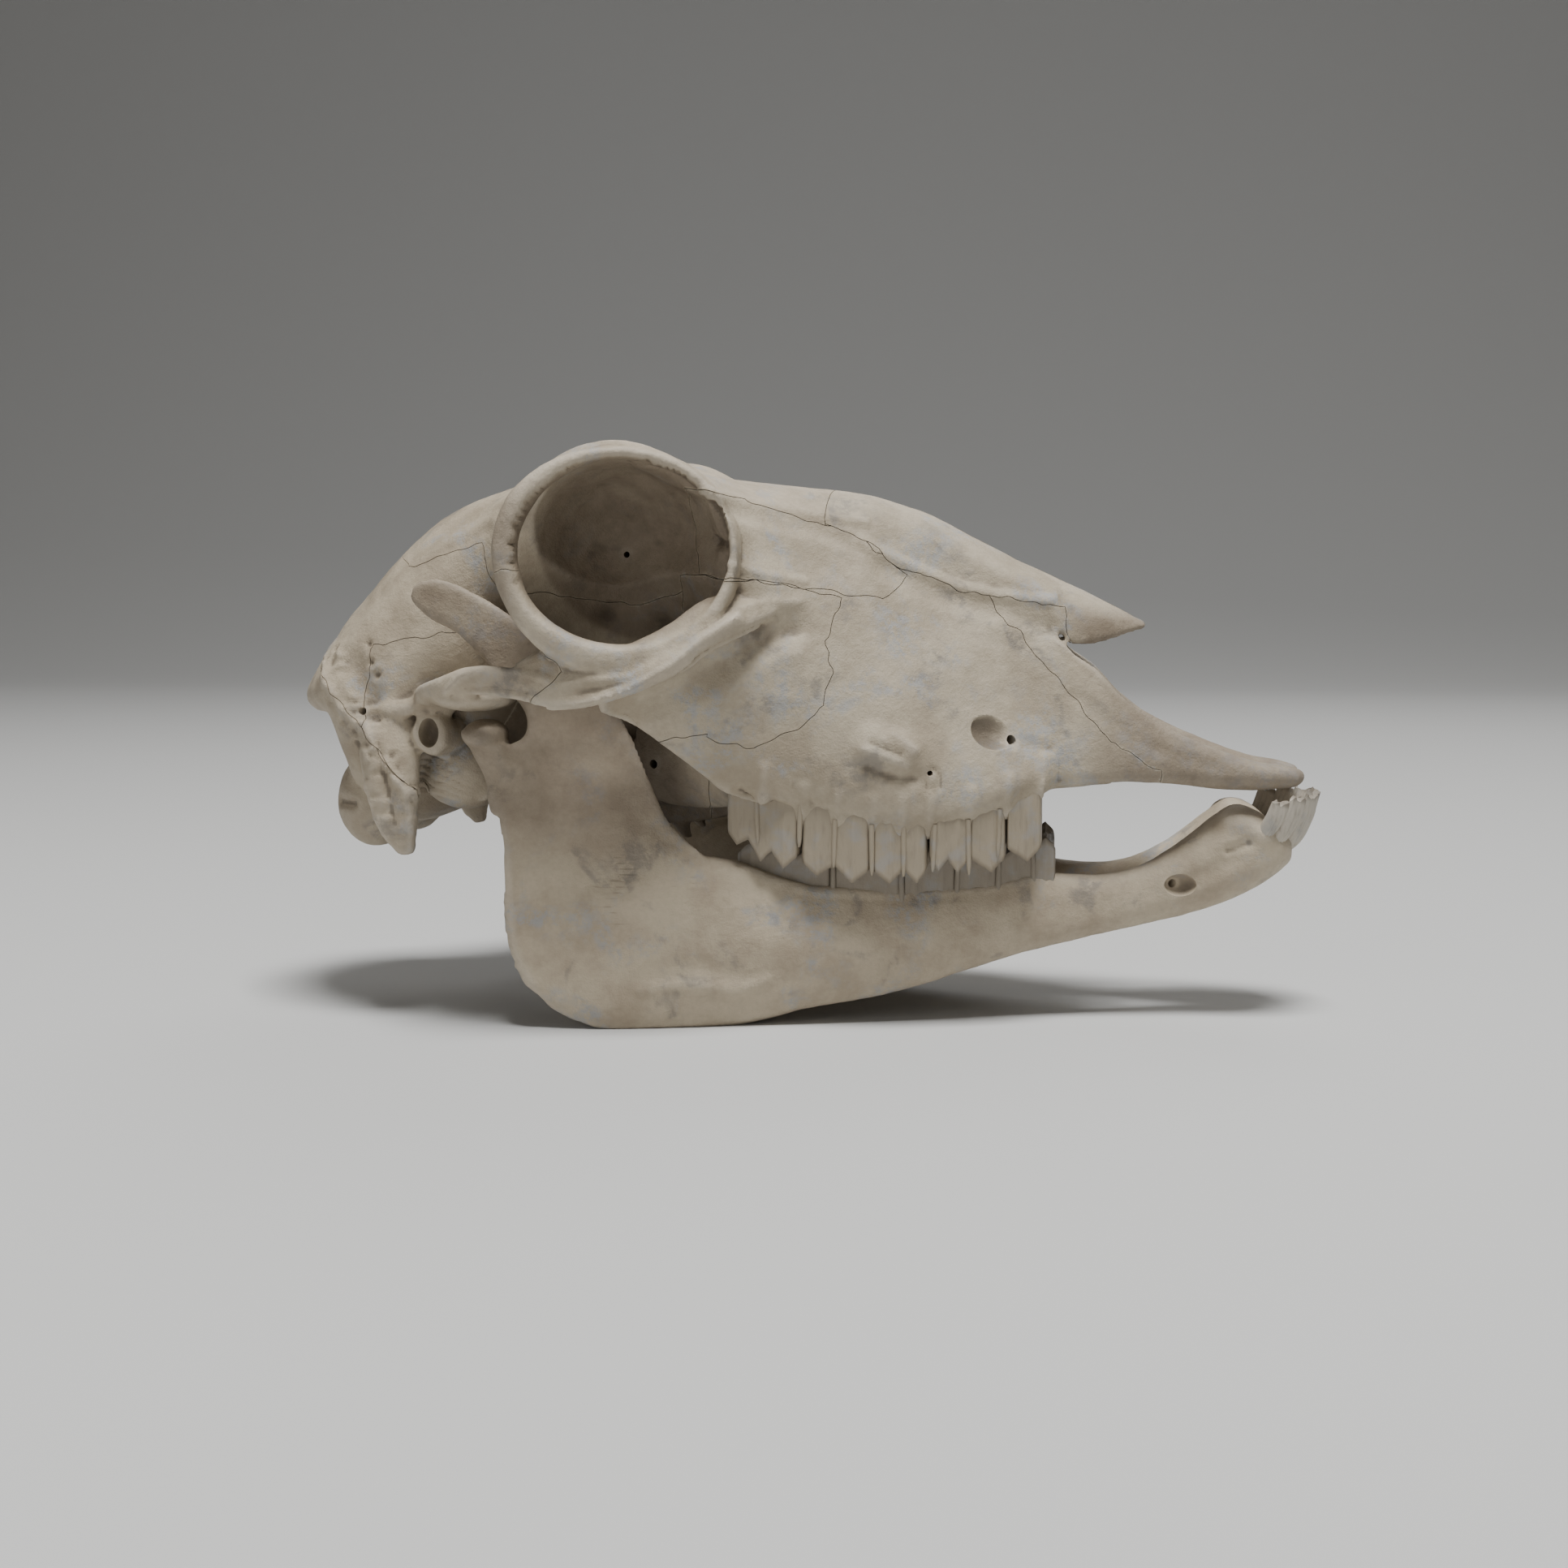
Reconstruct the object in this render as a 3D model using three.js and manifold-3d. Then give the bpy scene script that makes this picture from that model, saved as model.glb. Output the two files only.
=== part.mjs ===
// The skull and lower jaw of a hornless adult ewe, life size, in millimetres.
// +X runs towards the nose, +Z is up and the animal's right side is -Y. The jaw stands on the floor at Z = 0.
// Every shape is made for the left side (+Y) and mirrored, then the cranium is parted along its sutures.
import * as THREE from "three";
import { LoftGeometry } from "three/addons/geometries/LoftGeometry.js";
import { ParametricGeometry } from "three/addons/geometries/ParametricGeometry.js";
import { mergeVertices } from "three/addons/utils/BufferGeometryUtils.js";
import Module from "manifold-3d";

const wasm = await Module();
wasm.setup();

// Driving dimensions
const SUTURE_GAP = 0.3; // width of the cut between two bones
const FAR = 140; // past the skull on every side
const MIRROR = [0, 1, 0]; // the mid-plane's normal
const WELD = 1e-3; // vertices closer than this are one
const BODY_ROWS = 24; // cross-sections of the brain case and face
const BODY_SIDES = 20; // places round each of them

// The brain case and face as cross-sections from the nape to the nasal opening. Each row is x, the crown's z,
// seven [y, z] places from the crown down the left side to the palate, and z under the midline.
const CRANIUM_SECTIONS = [
  [-110.5, 73, [[3, 73], [5, 72.6], [7, 71.6], [7.6, 70.4], [7, 69.2], [5, 68.4], [3, 68]], 68],
  [-107, 78.5, [[6, 78], [11, 76], [15, 73.6], [16.4, 71.4], [15, 69.2], [11, 67.6], [6, 67]], 66.8],
  [-101, 87, [[9, 85.8], [17, 81.4], [23.4, 76.4], [25, 72], [22.6, 68.4], [17, 65.8], [9, 64.4]], 64],
  [-94, 95.4, [[10, 94], [19.4, 88], [27, 79.6], [29.6, 70.5], [28.6, 61.5], [24, 53], [15, 45]], 43],
  [-85, 104.8, [[11, 103.6], [21, 97.5], [28.5, 87], [31, 75], [30.6, 63], [27, 53], [16, 44]], 41],
  [-75, 112.5, [[12, 111], [22.5, 104], [29.5, 93], [31, 80], [29, 67], [24, 56], [13, 47]], 44],
  [-64, 117, [[14, 115.5], [25, 109.5], [30, 99], [30, 86], [26, 72], [18, 60], [10, 51]], 49],
  [-53, 119.3, [[18, 118.6], [33, 116], [37, 109], [25, 93], [18, 78], [12, 64], [7, 53]], 52],
  [-44, 119.8, [[22, 120.2], [40, 121.6], [48.5, 119], [24, 98], [13, 80], [10, 66], [7, 54]], 53],
  [-33, 119.8, [[22, 120.8], [38, 124], [47, 124], [22, 99], [13, 80], [10, 66], [7, 54]], 53.5],
  [-22, 119.6, [[21, 120.2], [35, 122.6], [44.5, 122.4], [22, 98], [15, 80], [12, 66], [9, 54]], 54],
  [-12, 119.2, [[19, 119.4], [33, 117.8], [41, 115], [31, 92], [25, 78], [22, 66], [19, 54]], 54.5],
  [-4, 118.4, [[17, 117.8], [30, 112], [39, 102], [38, 87], [36, 73], [33, 59], [25, 53]], 54],
  [8, 117.3, [[15, 116], [25, 106.5], [31.5, 95], [35.5, 82], [36.5, 67], [35.2, 52], [27, 46]], 52],
  [20, 115.8, [[14, 114], [21, 104], [27.5, 91.5], [32.5, 78], [35.5, 63], [34.5, 47], [26, 41.5]], 50.5],
  [32, 112, [[13, 109.5], [17.5, 99], [23.5, 87], [29, 74.5], [33.4, 61], [32.5, 46], [24, 41]], 50],
  [44, 106, [[12.5, 103.2], [15.5, 95], [20, 84], [24.5, 72], [28.6, 60], [29.2, 48], [21.5, 43]], 50],
  [54, 101, [[12, 98], [14.5, 92.5], [17, 82], [20, 71], [24, 61], [25.6, 53], [20.5, 47.5]], 51],
  [62, 97.4, [[11.3, 94.5], [13.8, 91], [14.8, 81], [17.3, 70], [19.8, 61], [20, 54.5], [17.5, 53]], 53],
];

// The nasal roof past the face: x, crown z, edge y, edge z, bone thickness
const NASAL_ROOF = [
  [54, 101, 14, 92, 4],
  [60, 98.4, 14.2, 90.5, 3.6],
  [64, 96.6, 13.8, 84, 3.2],
  [68, 94.7, 12.4, 83.2, 2.9],
  [72, 92.6, 10.4, 84, 2.7],
  [76, 90.4, 8.2, 85, 2.5],
  [79, 88.8, 6.2, 86, 2.2],
  [81.5, 87.8, 3.6, 86.7, 1.8],
];

// The premaxilla from the face wall to its flat tip: [centre], [half height, leaning in], [half width]
const PREMAXILLA = [
  [[53, 17.4, 70], [0, -2.6, 15.6], [0, 2, 0.3]],
  [[61.5, 16.8, 69.2], [0, -2.7, 15.6], [0, 2.2, 0.3]],
  [[66, 16.4, 67], [0, -2.5, 13.8], [0, 2.3, 0.3]],
  [[71, 15.7, 65.4], [0, -2.2, 12.2], [0, 2.4, 0.3]],
  [[76, 14.9, 62.6], [0, -1.8, 9.5], [0, 2.6, 0.3]],
  [[82, 13.9, 60], [0, -1.4, 7.2], [0, 3, 0.3]],
  [[89, 12.6, 57.9], [0, -0.8, 5.6], [0, 3.6, 0.3]],
  [[97, 11.2, 55.7], [0, -0.4, 4.5], [0, 4.6, 0.4]],
  [[105, 9.8, 54.3], [0, -0.2, 3.4], [0, 5.5, 0.4]],
  [[111, 8.3, 53.9], [0, 0, 2.7], [0, 5.2, 0.2]],
  [[114.5, 7.2, 53.7], [0, 0, 2], [0, 4.2, 0]],
  [[116.5, 6.4, 53.9], [0, 0, 0.9], [0, 2.2, 0]],
];
// The palate's thin rod beside the midline, between the two long front gaps
const PALATE_ROD = [
  [[58, 4.2, 52.6], [0, 4, 0], [0, 0, 1.6]],
  [[72, 3.2, 53], [0, 2.6, 0], [0, 0, 1.4]],
  [[90, 2.3, 53.4], [0, 1.5, 0], [0, 0, 1.2]],
  [[104, 2, 53.2], [0, 1.2, 0], [0, 0, 1]],
];
const PALATE_FRONT = [
  [[56, 11, 52.3], [0, 10, 0], [0, 0, 1.6]],
  [[66, 10, 52.9], [0, 9, 0], [0, 0, 1.4]],
  [[74, 9.4, 53.4], [0, 8, 0], [0, 0, 1.1]],
];

// Orbit: a round rim whose plane turns a little forwards, and the cup behind it
const ORBIT = { x: -28, z: 103, halfX: 21.5, halfZ: 19, y: 47.5, turn: 6.5, topIn: 1.6, depth: 33 };
const RIM_FRONT = { thick: 1, deep: 4.6 };
const RIM_BACK = { thick: 2.4, deep: 4.8 };
const RIM_LOW = 1.8; // how much thicker the rim is below
const RIM_HIGH = -0.3; // and above
const ORBIT_TURN = 17; // degrees that the cup's axis points forwards

// Bars and blades: each station is [centre], [half axis], [half axis]
const CHEEK_RIDGE = [
  [[-44, 50.8, 75.2], [-0.8, 0.2, 4.4], [0, 2.2, 0]],
  [[-36, 50.2, 76], [0, -1.2, 5], [0, 2.2, 0.4]],
  [[-26, 49, 79], [-0.6, -2.4, 5.2], [0, 2.1, 0.8]],
  [[-17, 47, 83.2], [-1.6, -3, 4.8], [0, 2.1, 1]],
  [[-9, 43.4, 88.8], [-2, -3.4, 4.4], [0, 2.2, 1.2]],
  [[2, 34.6, 91.4], [-0.6, -1.6, 2.6], [0, 2, 0.8]],
];
// The thin wall under the cheek's ridge, down to the last tooth
const CHEEK_WALL = [
  [[-34, 45.6, 71.6], [0, 1.4, 2], [0, 1.6, -0.6]],
  [[-28, 43.4, 71], [0, 3.4, 4], [0, 2, -1]],
  [[-21, 40.6, 69.8], [0, 4.6, 8.4], [0, 2.4, -1]],
  [[-14, 38.2, 68.6], [0, 4.4, 13], [0, 2.6, -0.8]],
  [[-8, 36.4, 68.4], [0, 3.2, 17.4], [0, 2.8, -0.6]],
  [[0, 35.4, 68], [0, 1, 19], [0, 2.4, 0]],
  [[8, 34.4, 67.6], [0, 0.4, 18], [0, 1.6, 0]],
];
// The ledge over the ear, from the arch's root to the nape
const TEMPLE_SHELF = [
  [[-69, 34, 72.8], [0, 3.4, 0.4], [0, 0, 2]],
  [[-76, 31.4, 70.6], [0, 3.2, -0.4], [0, 0, 2]],
  [[-82, 30.4, 68.8], [0, 3, -0.4], [0, 0, 2.2]],
  [[-88, 28.6, 69.2], [0, 2.6, 0], [0, 0, 2.4]],
  [[-94, 26.4, 71.2], [0, 2.2, 0], [0, 0, 2.4]],
];
const TEMPORAL_ARCH = [
  [[-74, 30, 70], [-5, 0, 0], [0, 0, 3.6]],
  [[-70, 37, 73], [-4.8, 2.2, 0], [0, 0.8, 2.6]],
  [[-65.5, 43.6, 75.2], [-2.6, 2.2, -1], [0.6, 1, 3]],
  [[-59.5, 48.6, 76], [-0.8, 2, 0], [0, 0.6, 3.1]],
  [[-52, 50.8, 75.5], [0, 1.8, 0], [0, 0.2, 3.1]],
  [[-45, 51.2, 74.2], [0, 1.6, 0], [0, 0, 2.8]],
  [[-38, 50.4, 74.2], [0, 1.4, 0], [0, 0, 1.6]],
];
const JAW_SOCKET = { centre: [-63.6, 34, 71.8], radii: [9.2, 13, 3.2] };
const MAXILLA_TUBER = { centre: [-14, 20.5, 58], radii: [11, 9, 10.5] };
const LACRIMAL_BULLA = { centre: [-15, 23, 82], radii: [10, 10, 8] };
const CHEEK_BUMP = { centre: [28, 33.6, 63.6], radii: [8, 3.4, 4.4] };

// Back of the skull
const NAPE_KNOB = { centre: [-106.6, 0, 71.6], radii: [4.8, 7.5, 5.6] };
const OCCIPITAL_CONDYLE = { centre: [-92, 14.5, 47.2], radii: [8.8, 9.4, 10.6] };
const FORAMEN_MAGNUM = { radius: 9.3, z: 56, from: -112, to: -80, rise: 2 };
const PARACONDYLAR = [
  [[-85, 28, 66], [7, 0, 1], [0, 5, 0]],
  [[-84, 31, 58], [7, 0, 1], [0, 3.6, 0]],
  [[-82.8, 32.4, 50], [5.6, 0, 0.8], [0, 2.6, 0]],
  [[-81.6, 32.4, 42], [3.8, 0, 0.8], [0, 2, 0]],
  [[-79.8, 31.8, 36.6], [1.6, 0, 0.2], [0, 1.1, 0]],
];
const BULLA = { centre: [-69.5, 20.5, 54.5], radii: [9.6, 8, 8.6] };
const MUSCULAR_PROCESS = [
  [[-70, 24, 61], [4.4, 0, -3], [0, 2.4, 0]],
  [[-66.5, 25, 54], [3.6, 0, 1.6], [0, 1.6, 0]],
  [[-63, 25, 48.6], [2, 0, 0.8], [0, 0.9, 0]],
];
const EAR_TUBE = { x: -74.2, z: 63.9, y: 35.2, radius: 4.4, bore: 2.7, inner: 24 };
const PTERYGOID = [
  [[-46, 9.4, 58], [0, 0, 4], [0, 1.6, 0]],
  [[-38, 10.4, 55], [0, 0, 7], [0, 1.8, 0]],
  [[-30, 11.4, 51.5], [0, 0, 9], [0, 1.9, 0]],
  [[-22, 12.2, 49.6], [0, 0, 7.4], [0, 2, 0]],
  [[-13, 14.4, 51], [0, 0, 7.4], [0, 2.6, 0]],
  [[-4, 18, 53], [0, 0, 6], [0, 3.6, 0]],
];
const HAMULUS = [
  [[-22.5, 11.6, 45], [3, 0, 0], [0, 1.4, 0]],
  [[-22, 11, 41.5], [2, 0, 0], [0, 1.1, 0]],
  [[-20.5, 10.4, 38.6], [1, 0, 0], [0, 0.8, 0]],
];

// Hollows: nose, choanae and the small holes of the face
const NASAL_CAVITY = [
  [[13, 0, 82], [0, 4, 0], [0, 0, 7]],
  [[26, 0, 79], [0, 9.5, 0], [0, 0, 19]],
  [[42, 0, 76.5], [0, 12.6, 0], [0, 0, 22]],
  [[56, 0, 74.5], [0, 14.2, 0], [0, 0, 20.6]],
  [[62.5, 0, 73], [0, 14.6, 0], [0, 0, 18.8]],
  [[75, 0, 72], [0, 11.6, 0], [0, 0, 17.5]],
];
const CHOANAE = [
  [[-46, 0, 49], [0, 8, 0], [0, 0, 7]],
  [[-20, 0, 50], [0, 9, 0], [0, 0, 9]],
  [[-4, 0, 50.5], [0, 10, 0], [0, 0, 7]],
  [[6, 0, 49], [0, 6, 0], [0, 0, 3]],
];
const INFRAORBITAL = { centre: [52, 26.5, 64], radii: [5.6, 4, 3.4] };
const SUPRAORBITAL = { centre: [-16, 22, 119.5], radii: [3.4, 2, 3] };

// Upper cheek teeth from front to back: front x, back x, gum z, cusps as [x, z] from the back
const UPPER_TEETH = [
  [58.7, 51.3, 52, [[56, 36.4]]],
  [51, 43.5, 46.5, [[48, 34.4]]],
  [43.2, 34.8, 44, [[37, 34.8], [41, 34.2]]],
  [34.5, 22.8, 43, [[26.6, 32.2], [32.4, 32.3]]],
  [22.5, 7.4, 43, [[11, 33.8], [18.6, 32.3]]],
  [7.1, -9, 50, [[-6.6, 40], [-2.4, 37.2], [3.4, 35.4]]],
];
const UPPER_ROW_Y = [
  [-12, 31.6], [-4, 33.6], [8, 34.8], [22, 34.8], [34, 33], [43, 30.6], [51, 27.8], [60, 24.2],
];
const UPPER_TOOTH = { wall: 4.6, width: 12, floor: 42.6, root: 5, valley: 3, rib: 0.95 };

// Lower cheek teeth, in the same way
const LOWER_TEETH = [
  [62, 57.4, 32.6, [[60, 40.6]]],
  [57.1, 49.6, 31, [[53.6, 38.4]]],
  [49.3, 40.6, 30, [[43, 38], [47, 38.2]]],
  [40.3, 28.8, 30, [[31.6, 38.4], [37.4, 38.4]]],
  [28.5, 13.8, 30, [[17.4, 38.4], [25, 38.4]]],
  [13.5, -7.2, 32, [[-4.4, 39.8], [2.4, 39.6], [9.6, 39]]],
];
const LOWER_ROW_Y = [[-12, 26.2], [0, 26.8], [14, 26.6], [28, 25], [42, 21.6], [54, 18.2], [62, 16.2]];
const LOWER_TOOTH = { width: 7.4, root: 6, valley: 2.2 };

// Lower jaw. Body: x, lower z, upper z, middle y, half thickness
const JAW_BODY = [
  [-46, 6, 30, 36.6, 2.6],
  [-38, 0.2, 33, 36.6, 3.5],
  [-28, -1, 36, 34.4, 4.3],
  [-17, -1, 37.6, 31.4, 5],
  [-8, -0.5, 36.4, 28.8, 5.4],
  [-1, 0.9, 33.6, 27.2, 5.6],
  [9, 3.4, 30.8, 25, 5.6],
  [27, 6.4, 30, 21.2, 5.5],
  [45, 11.6, 30.3, 17, 5],
  [57, 14.9, 32.6, 14, 4.6],
  [63, 16.5, 32.2, 12.6, 4.3],
  [72, 18.4, 31.8, 10.6, 4.3],
  [80, 20.2, 33.5, 8.8, 4.8],
  [88.5, 22, 38.2, 7.4, 5.8],
  [95.5, 24.2, 43.8, 6.8, 6.6],
  [101, 26.4, 47.6, 6.8, 7],
  [106, 29, 46.5, 6.6, 6.8],
  [110.5, 32, 43, 6, 6.2],
  [114, 35, 40.5, 5, 4.4],
];
// Ramus: z, back x, front x, middle y, half thickness; its front edge lies further in than its back edge
const JAW_RAMUS = [
  [-0.6, -34, -16, 35.4, 1.6],
  [2.6, -43.6, -11, 36, 2.6],
  [6.4, -48.4, -9, 36.4, 3.2],
  [11, -53, -8, 36.6, 3.2],
  [18, -55.2, -8, 36.8, 3],
  [27, -56.4, -8, 36.8, 2.8],
  [36, -56.2, -12, 37, 2.7],
  [43.3, -56.6, -20.4, 37.2, 2.6],
  [49.4, -57.8, -23.9, 37.4, 2.6],
  [55, -59.6, -26, 37.6, 2.6],
  [59.5, -60, -28, 37.8, 2.4],
  [63, -52.4, -29.4, 37.8, 2.3],
  [67, -51, -31.4, 37.6, 2.2],
  [71, -51.4, -34.6, 37.4, 2],
];
const RAMUS_SLANT = 3.2;
const CORONOID = [
  [[-41.8, 36, 62], [9.4, -2.4, 0.8], [0, 2.2, 0]],
  [[-41.8, 36, 67], [9, -2.2, 1.4], [0, 2.2, 0]],
  [[-44.4, 36.2, 72], [8.2, -1.6, 1.8], [0, 2, 0]],
  [[-50.4, 36.4, 78], [7, -0.8, 3], [0, 1.8, 0]],
  [[-57, 36.4, 84], [4.6, -0.3, 3.6], [0, 1.5, 0]],
  [[-64.2, 36.2, 89.6], [3, 0, 3.8], [0, 1.3, 0]],
  [[-71.2, 35.8, 92.9], [1.8, 0, 4.2], [0, 1.2, 0]],
  [[-75.6, 35.5, 94.2], [0.8, 0, 2.8], [0, 0.9, 0]],
  [[-77.4, 35.4, 94.4], [0.2, 0, 1], [0, 0.5, 0]],
];
const JAW_NECK = [
  [[-53.6, 37.6, 47], [5.4, 0, 0], [0, 2.6, 0]],
  [[-56.4, 37.6, 55], [4.4, 0, 0.6], [0, 3.2, 0]],
  [[-59.4, 37.4, 61], [3.8, 0, 0.6], [0, 6, 0]],
  [[-60.6, 37.4, 64], [3.2, 0, 0.2], [0, 7.4, 0]],
];
const JAW_CONDYLE = { centre: [-60.6, 37.6, 64], radii: [4.6, 9, 3.2] };
const MENTAL_FORAMEN = { centre: [90.2, 13.4, 31], radii: [3.4, 2.6, 2] };

// Front teeth of the left half jaw, from the midline out: root, neck, tip, half width, degrees of fan
const INCISORS = [
  { root: [101, 3, 34.5], neck: [110.5, 3, 38.5], tip: [120.2, 3.2, 49.8], half: 2.8, fan: 12 },
  { root: [100, 6, 36], neck: [109, 7, 39.2], tip: [118.6, 8, 49.8], half: 2.8, fan: 32 },
  { root: [98, 8.4, 37.5], neck: [106.6, 10, 40.6], tip: [115.4, 11.8, 49.6], half: 2.7, fan: 50 },
  { root: [96.5, 9.6, 39], neck: [103.6, 11.8, 42], tip: [111, 14.2, 48.8], half: 2.5, fan: 64 },
];

// Sutures as [x, z] outlines seen from the side, each with the y that the bone starts from
const NASAL_ZONE = [
  {
    from: 0,
    outline: [[12, FAR], [12, 109.5], [16, 107.7], [25.8, 101.4], [31.2, 98.8], [40.1, 95.2], [49, 93],
      [59.5, 92.3], [63.5, 91.2], [65, 81], [90, 78], [90, FAR]],
  },
];
const PREMAXILLA_ZONE = [
  {
    from: 0,
    outline: [[45, 96], [50.8, 88.2], [56, 83], [61.5, 76.8], [68.6, 68], [76, 60.5], [84.5, 55.7],
      [84.5, 40], [FAR, 40], [FAR, 76], [66, 96]],
  },
];
const LACRIMAL_ZONE = [
  {
    from: 16,
    outline: [[-17, 117], [-7, 114.6], [3.3, 111.5], [8.7, 109.6], [16, 107.9], [25.8, 101.4], [29.2, 98.2],
      [26.8, 95.3], [24.2, 93.1], [16, 93.7], [10.4, 95], [3.5, 95.9], [-4.2, 97.2], [-15, 98]],
  },
];
const ZYGOMATIC_ZONE = [
  {
    from: 20,
    outline: [[-20, 98], [-15, 98], [-4.2, 97.2], [3.5, 95.9], [10.4, 95], [15.7, 93.3], [12.6, 84.2],
      [13.8, 77.4], [12.6, 70.5], [5.7, 64.4], [-2.2, 61.7], [-12, 64], [-13, 80], [-20, 80]],
  },
  {
    from: 33,
    outline: [[-12, 98], [-30, 94], [-45, 99], [-66, 99], [-62, 88], [-44, 82.5], [-39.5, 78], [-47.6, 70.9],
      [-50, 64], [-12, 62]],
  },
];
const FRONTAL_ZONE = [
  {
    from: 0,
    outline: [[-88, FAR], [-86, 104], [-81.6, 99.2], [-77.9, 100.6], [-70.5, 103.2], [-63, 105], [-60, 96],
      [-45, 93], [-30, 92], [-14, 96], [-14, 112], [12, 108], [12, FAR]],
  },
];
const MAXILLA_ZONE = [
  { from: 0, outline: [[-14, 20], [FAR, 20], [FAR, FAR], [-14, FAR]] },
  { from: 30, outline: [[-30, 44], [-10, 44], [-10, 66], [-30, 66]] },
];
const TEMPORAL_ZONE = [
  {
    from: 19,
    outline: [[-90, 72], [-87.3, 82.5], [-79.8, 84.5], [-69.2, 86.1], [-56, 87.5], [-53, 76], [-52, 64],
      [-56, 42], [-76.5, 42], [-77.5, 51], [-82, 56], [-86, 60.5], [-89, 65.1]],
  },
  { from: 34, outline: [[-76, 66], [-76, 90], [-34, 90], [-34, 66]] },
];
const OCCIPITAL_ZONE = [
  {
    outline: [[-FAR, 20], [-58, 20], [-58, 50], [-77.5, 51.5], [-82, 56], [-89, 65.1], [-95, 69.4],
      [-100, 75], [-106, 80], [-FAR, 82]],
  },
];
const PARIETAL_ZONE = [{ outline: [[-FAR, 64], [-88, 64], [-84, 78], [-56, 80], [-56, FAR], [-FAR, FAR]] }];

// A closed surface as a solid, turned the right way out
function solid(geometry) {
  const bare = new THREE.BufferGeometry().copy(geometry);
  bare.deleteAttribute("normal");
  bare.deleteAttribute("uv");
  const merged = mergeVertices(bare, WELD);
  const vertProperties = merged.attributes.position.array;
  const faces = [];
  const index = merged.index.array;
  for (let i = 0; i < index.length; i += 3) {
    const [a, b, c] = [index[i], index[i + 1], index[i + 2]];
    if (a !== b && b !== c && c !== a) faces.push(a, b, c);
  }
  const make = (triVerts) =>
    new wasm.Manifold(new wasm.Mesh({ numProp: 3, vertProperties, triVerts: new Uint32Array(triVerts) }));
  const made = make(faces);
  if (made.volume() > 0) return made;
  return make(faces.slice().reverse());
}

const vector = ([x, y, z]) => new THREE.Vector3(x, y, z);
const mirrored = (shape) => shape.mirror(MIRROR);
const bothSides = (shape) => shape.add(mirrored(shape));
const joined = (shapes) => shapes.reduce((all, one) => all.add(one));

// A smooth line of `rows` places through hand-chosen ones
function smooth(places, rows) {
  const curve = new THREE.CatmullRomCurve3(places, false, "catmullrom", 0.5);
  return curve.getPoints(rows);
}

// A value read off a short table of [x, value] pairs
function readOff(table, x) {
  if (x <= table[0][0]) return table[0][1];
  for (let i = 1; i < table.length; i++) {
    const [x0, v0] = table[i - 1];
    const [x1, v1] = table[i];
    if (x <= x1) return v0 + ((v1 - v0) * (x - x0)) / (x1 - x0);
  }
  return table[table.length - 1][1];
}

// A solid skinned over closed rings of the same number of places, run the way round that faces outwards
function skin(rings) {
  const sum = (ring) => ring.reduce((total, place) => total.add(place), new THREE.Vector3());
  const middle = (ring) => sum(ring).divideScalar(ring.length);
  const area = new THREE.Vector3();
  rings[0].forEach((place, i) => area.add(place.clone().cross(rings[0][(i + 1) % rings[0].length])));
  const outwards = area.dot(middle(rings[1]).sub(middle(rings[0]))) > 0;
  const turned = outwards ? rings : rings.map((ring) => ring.slice().reverse());
  return solid(new LoftGeometry(turned, { capStart: true, capEnd: true }));
}

// Ovals [centre, half axis, half axis] skinned into a bar, blade or cavity; squareness 1 is an ellipse
function ovals(stations, rows = 8, sides = 12, squareness = 0.8) {
  const [centres, us, vs] = [0, 1, 2].map((k) => smooth(stations.map((s) => vector(s[k])), rows));
  const rounded = (value) => Math.sign(value) * Math.abs(value) ** squareness;
  return skin(
    centres.map((centre, row) =>
      Array.from({ length: sides }, (_, i) => {
        const angle = (2 * Math.PI * i) / sides;
        return centre
          .clone()
          .addScaledVector(us[row], rounded(Math.cos(angle)))
          .addScaledVector(vs[row], rounded(Math.sin(angle)));
      }),
    ),
  );
}

function egg({ centre, radii }, across = 10, down = 7) {
  const geometry = new THREE.SphereGeometry(1, across, down);
  geometry.scale(...radii);
  geometry.translate(...centre);
  return solid(geometry);
}

function rod(radius, from, to, sides = 12) {
  const [start, end] = [vector(from), vector(to)];
  const geometry = new THREE.CylinderGeometry(radius, radius, start.distanceTo(end), sides);
  const turn = new THREE.Quaternion().setFromUnitVectors(
    new THREE.Vector3(0, 1, 0),
    end.clone().sub(start).normalize(),
  );
  geometry.applyQuaternion(turn);
  geometry.translate(...start.clone().add(end).multiplyScalar(0.5));
  return solid(geometry);
}

// A side outline of [x, z] places pushed sideways from one y to another
function slab(outline, fromY, toY) {
  const shape = new THREE.Shape(outline.map(([x, z]) => new THREE.Vector2(x, z)));
  const geometry = new THREE.ExtrudeGeometry(shape, { depth: toY - fromY, bevelEnabled: false });
  geometry.rotateX(Math.PI / 2);
  geometry.translate(0, toY, 0);
  return solid(geometry);
}

// Brain case and face
function cranialBody() {
  const places = CRANIUM_SECTIONS.map(([x, crown, side, base]) => {
    const left = side.map(([y, z]) => new THREE.Vector3(x, y, z));
    const right = side.map(([y, z]) => new THREE.Vector3(x, -y, z)).reverse();
    return [new THREE.Vector3(x, 0, crown), ...left, new THREE.Vector3(x, 0, base), ...right];
  });
  const lines = places[0].map((_, k) => smooth(places.map((row) => row[k]), BODY_ROWS));
  const rings = lines[0].map((_, row) => {
    const ring = new THREE.CatmullRomCurve3(lines.map((line) => line[row]), true, "catmullrom", 0.5);
    return ring.getPoints(BODY_SIDES).slice(0, -1);
  });
  return skin(rings);
}

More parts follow.
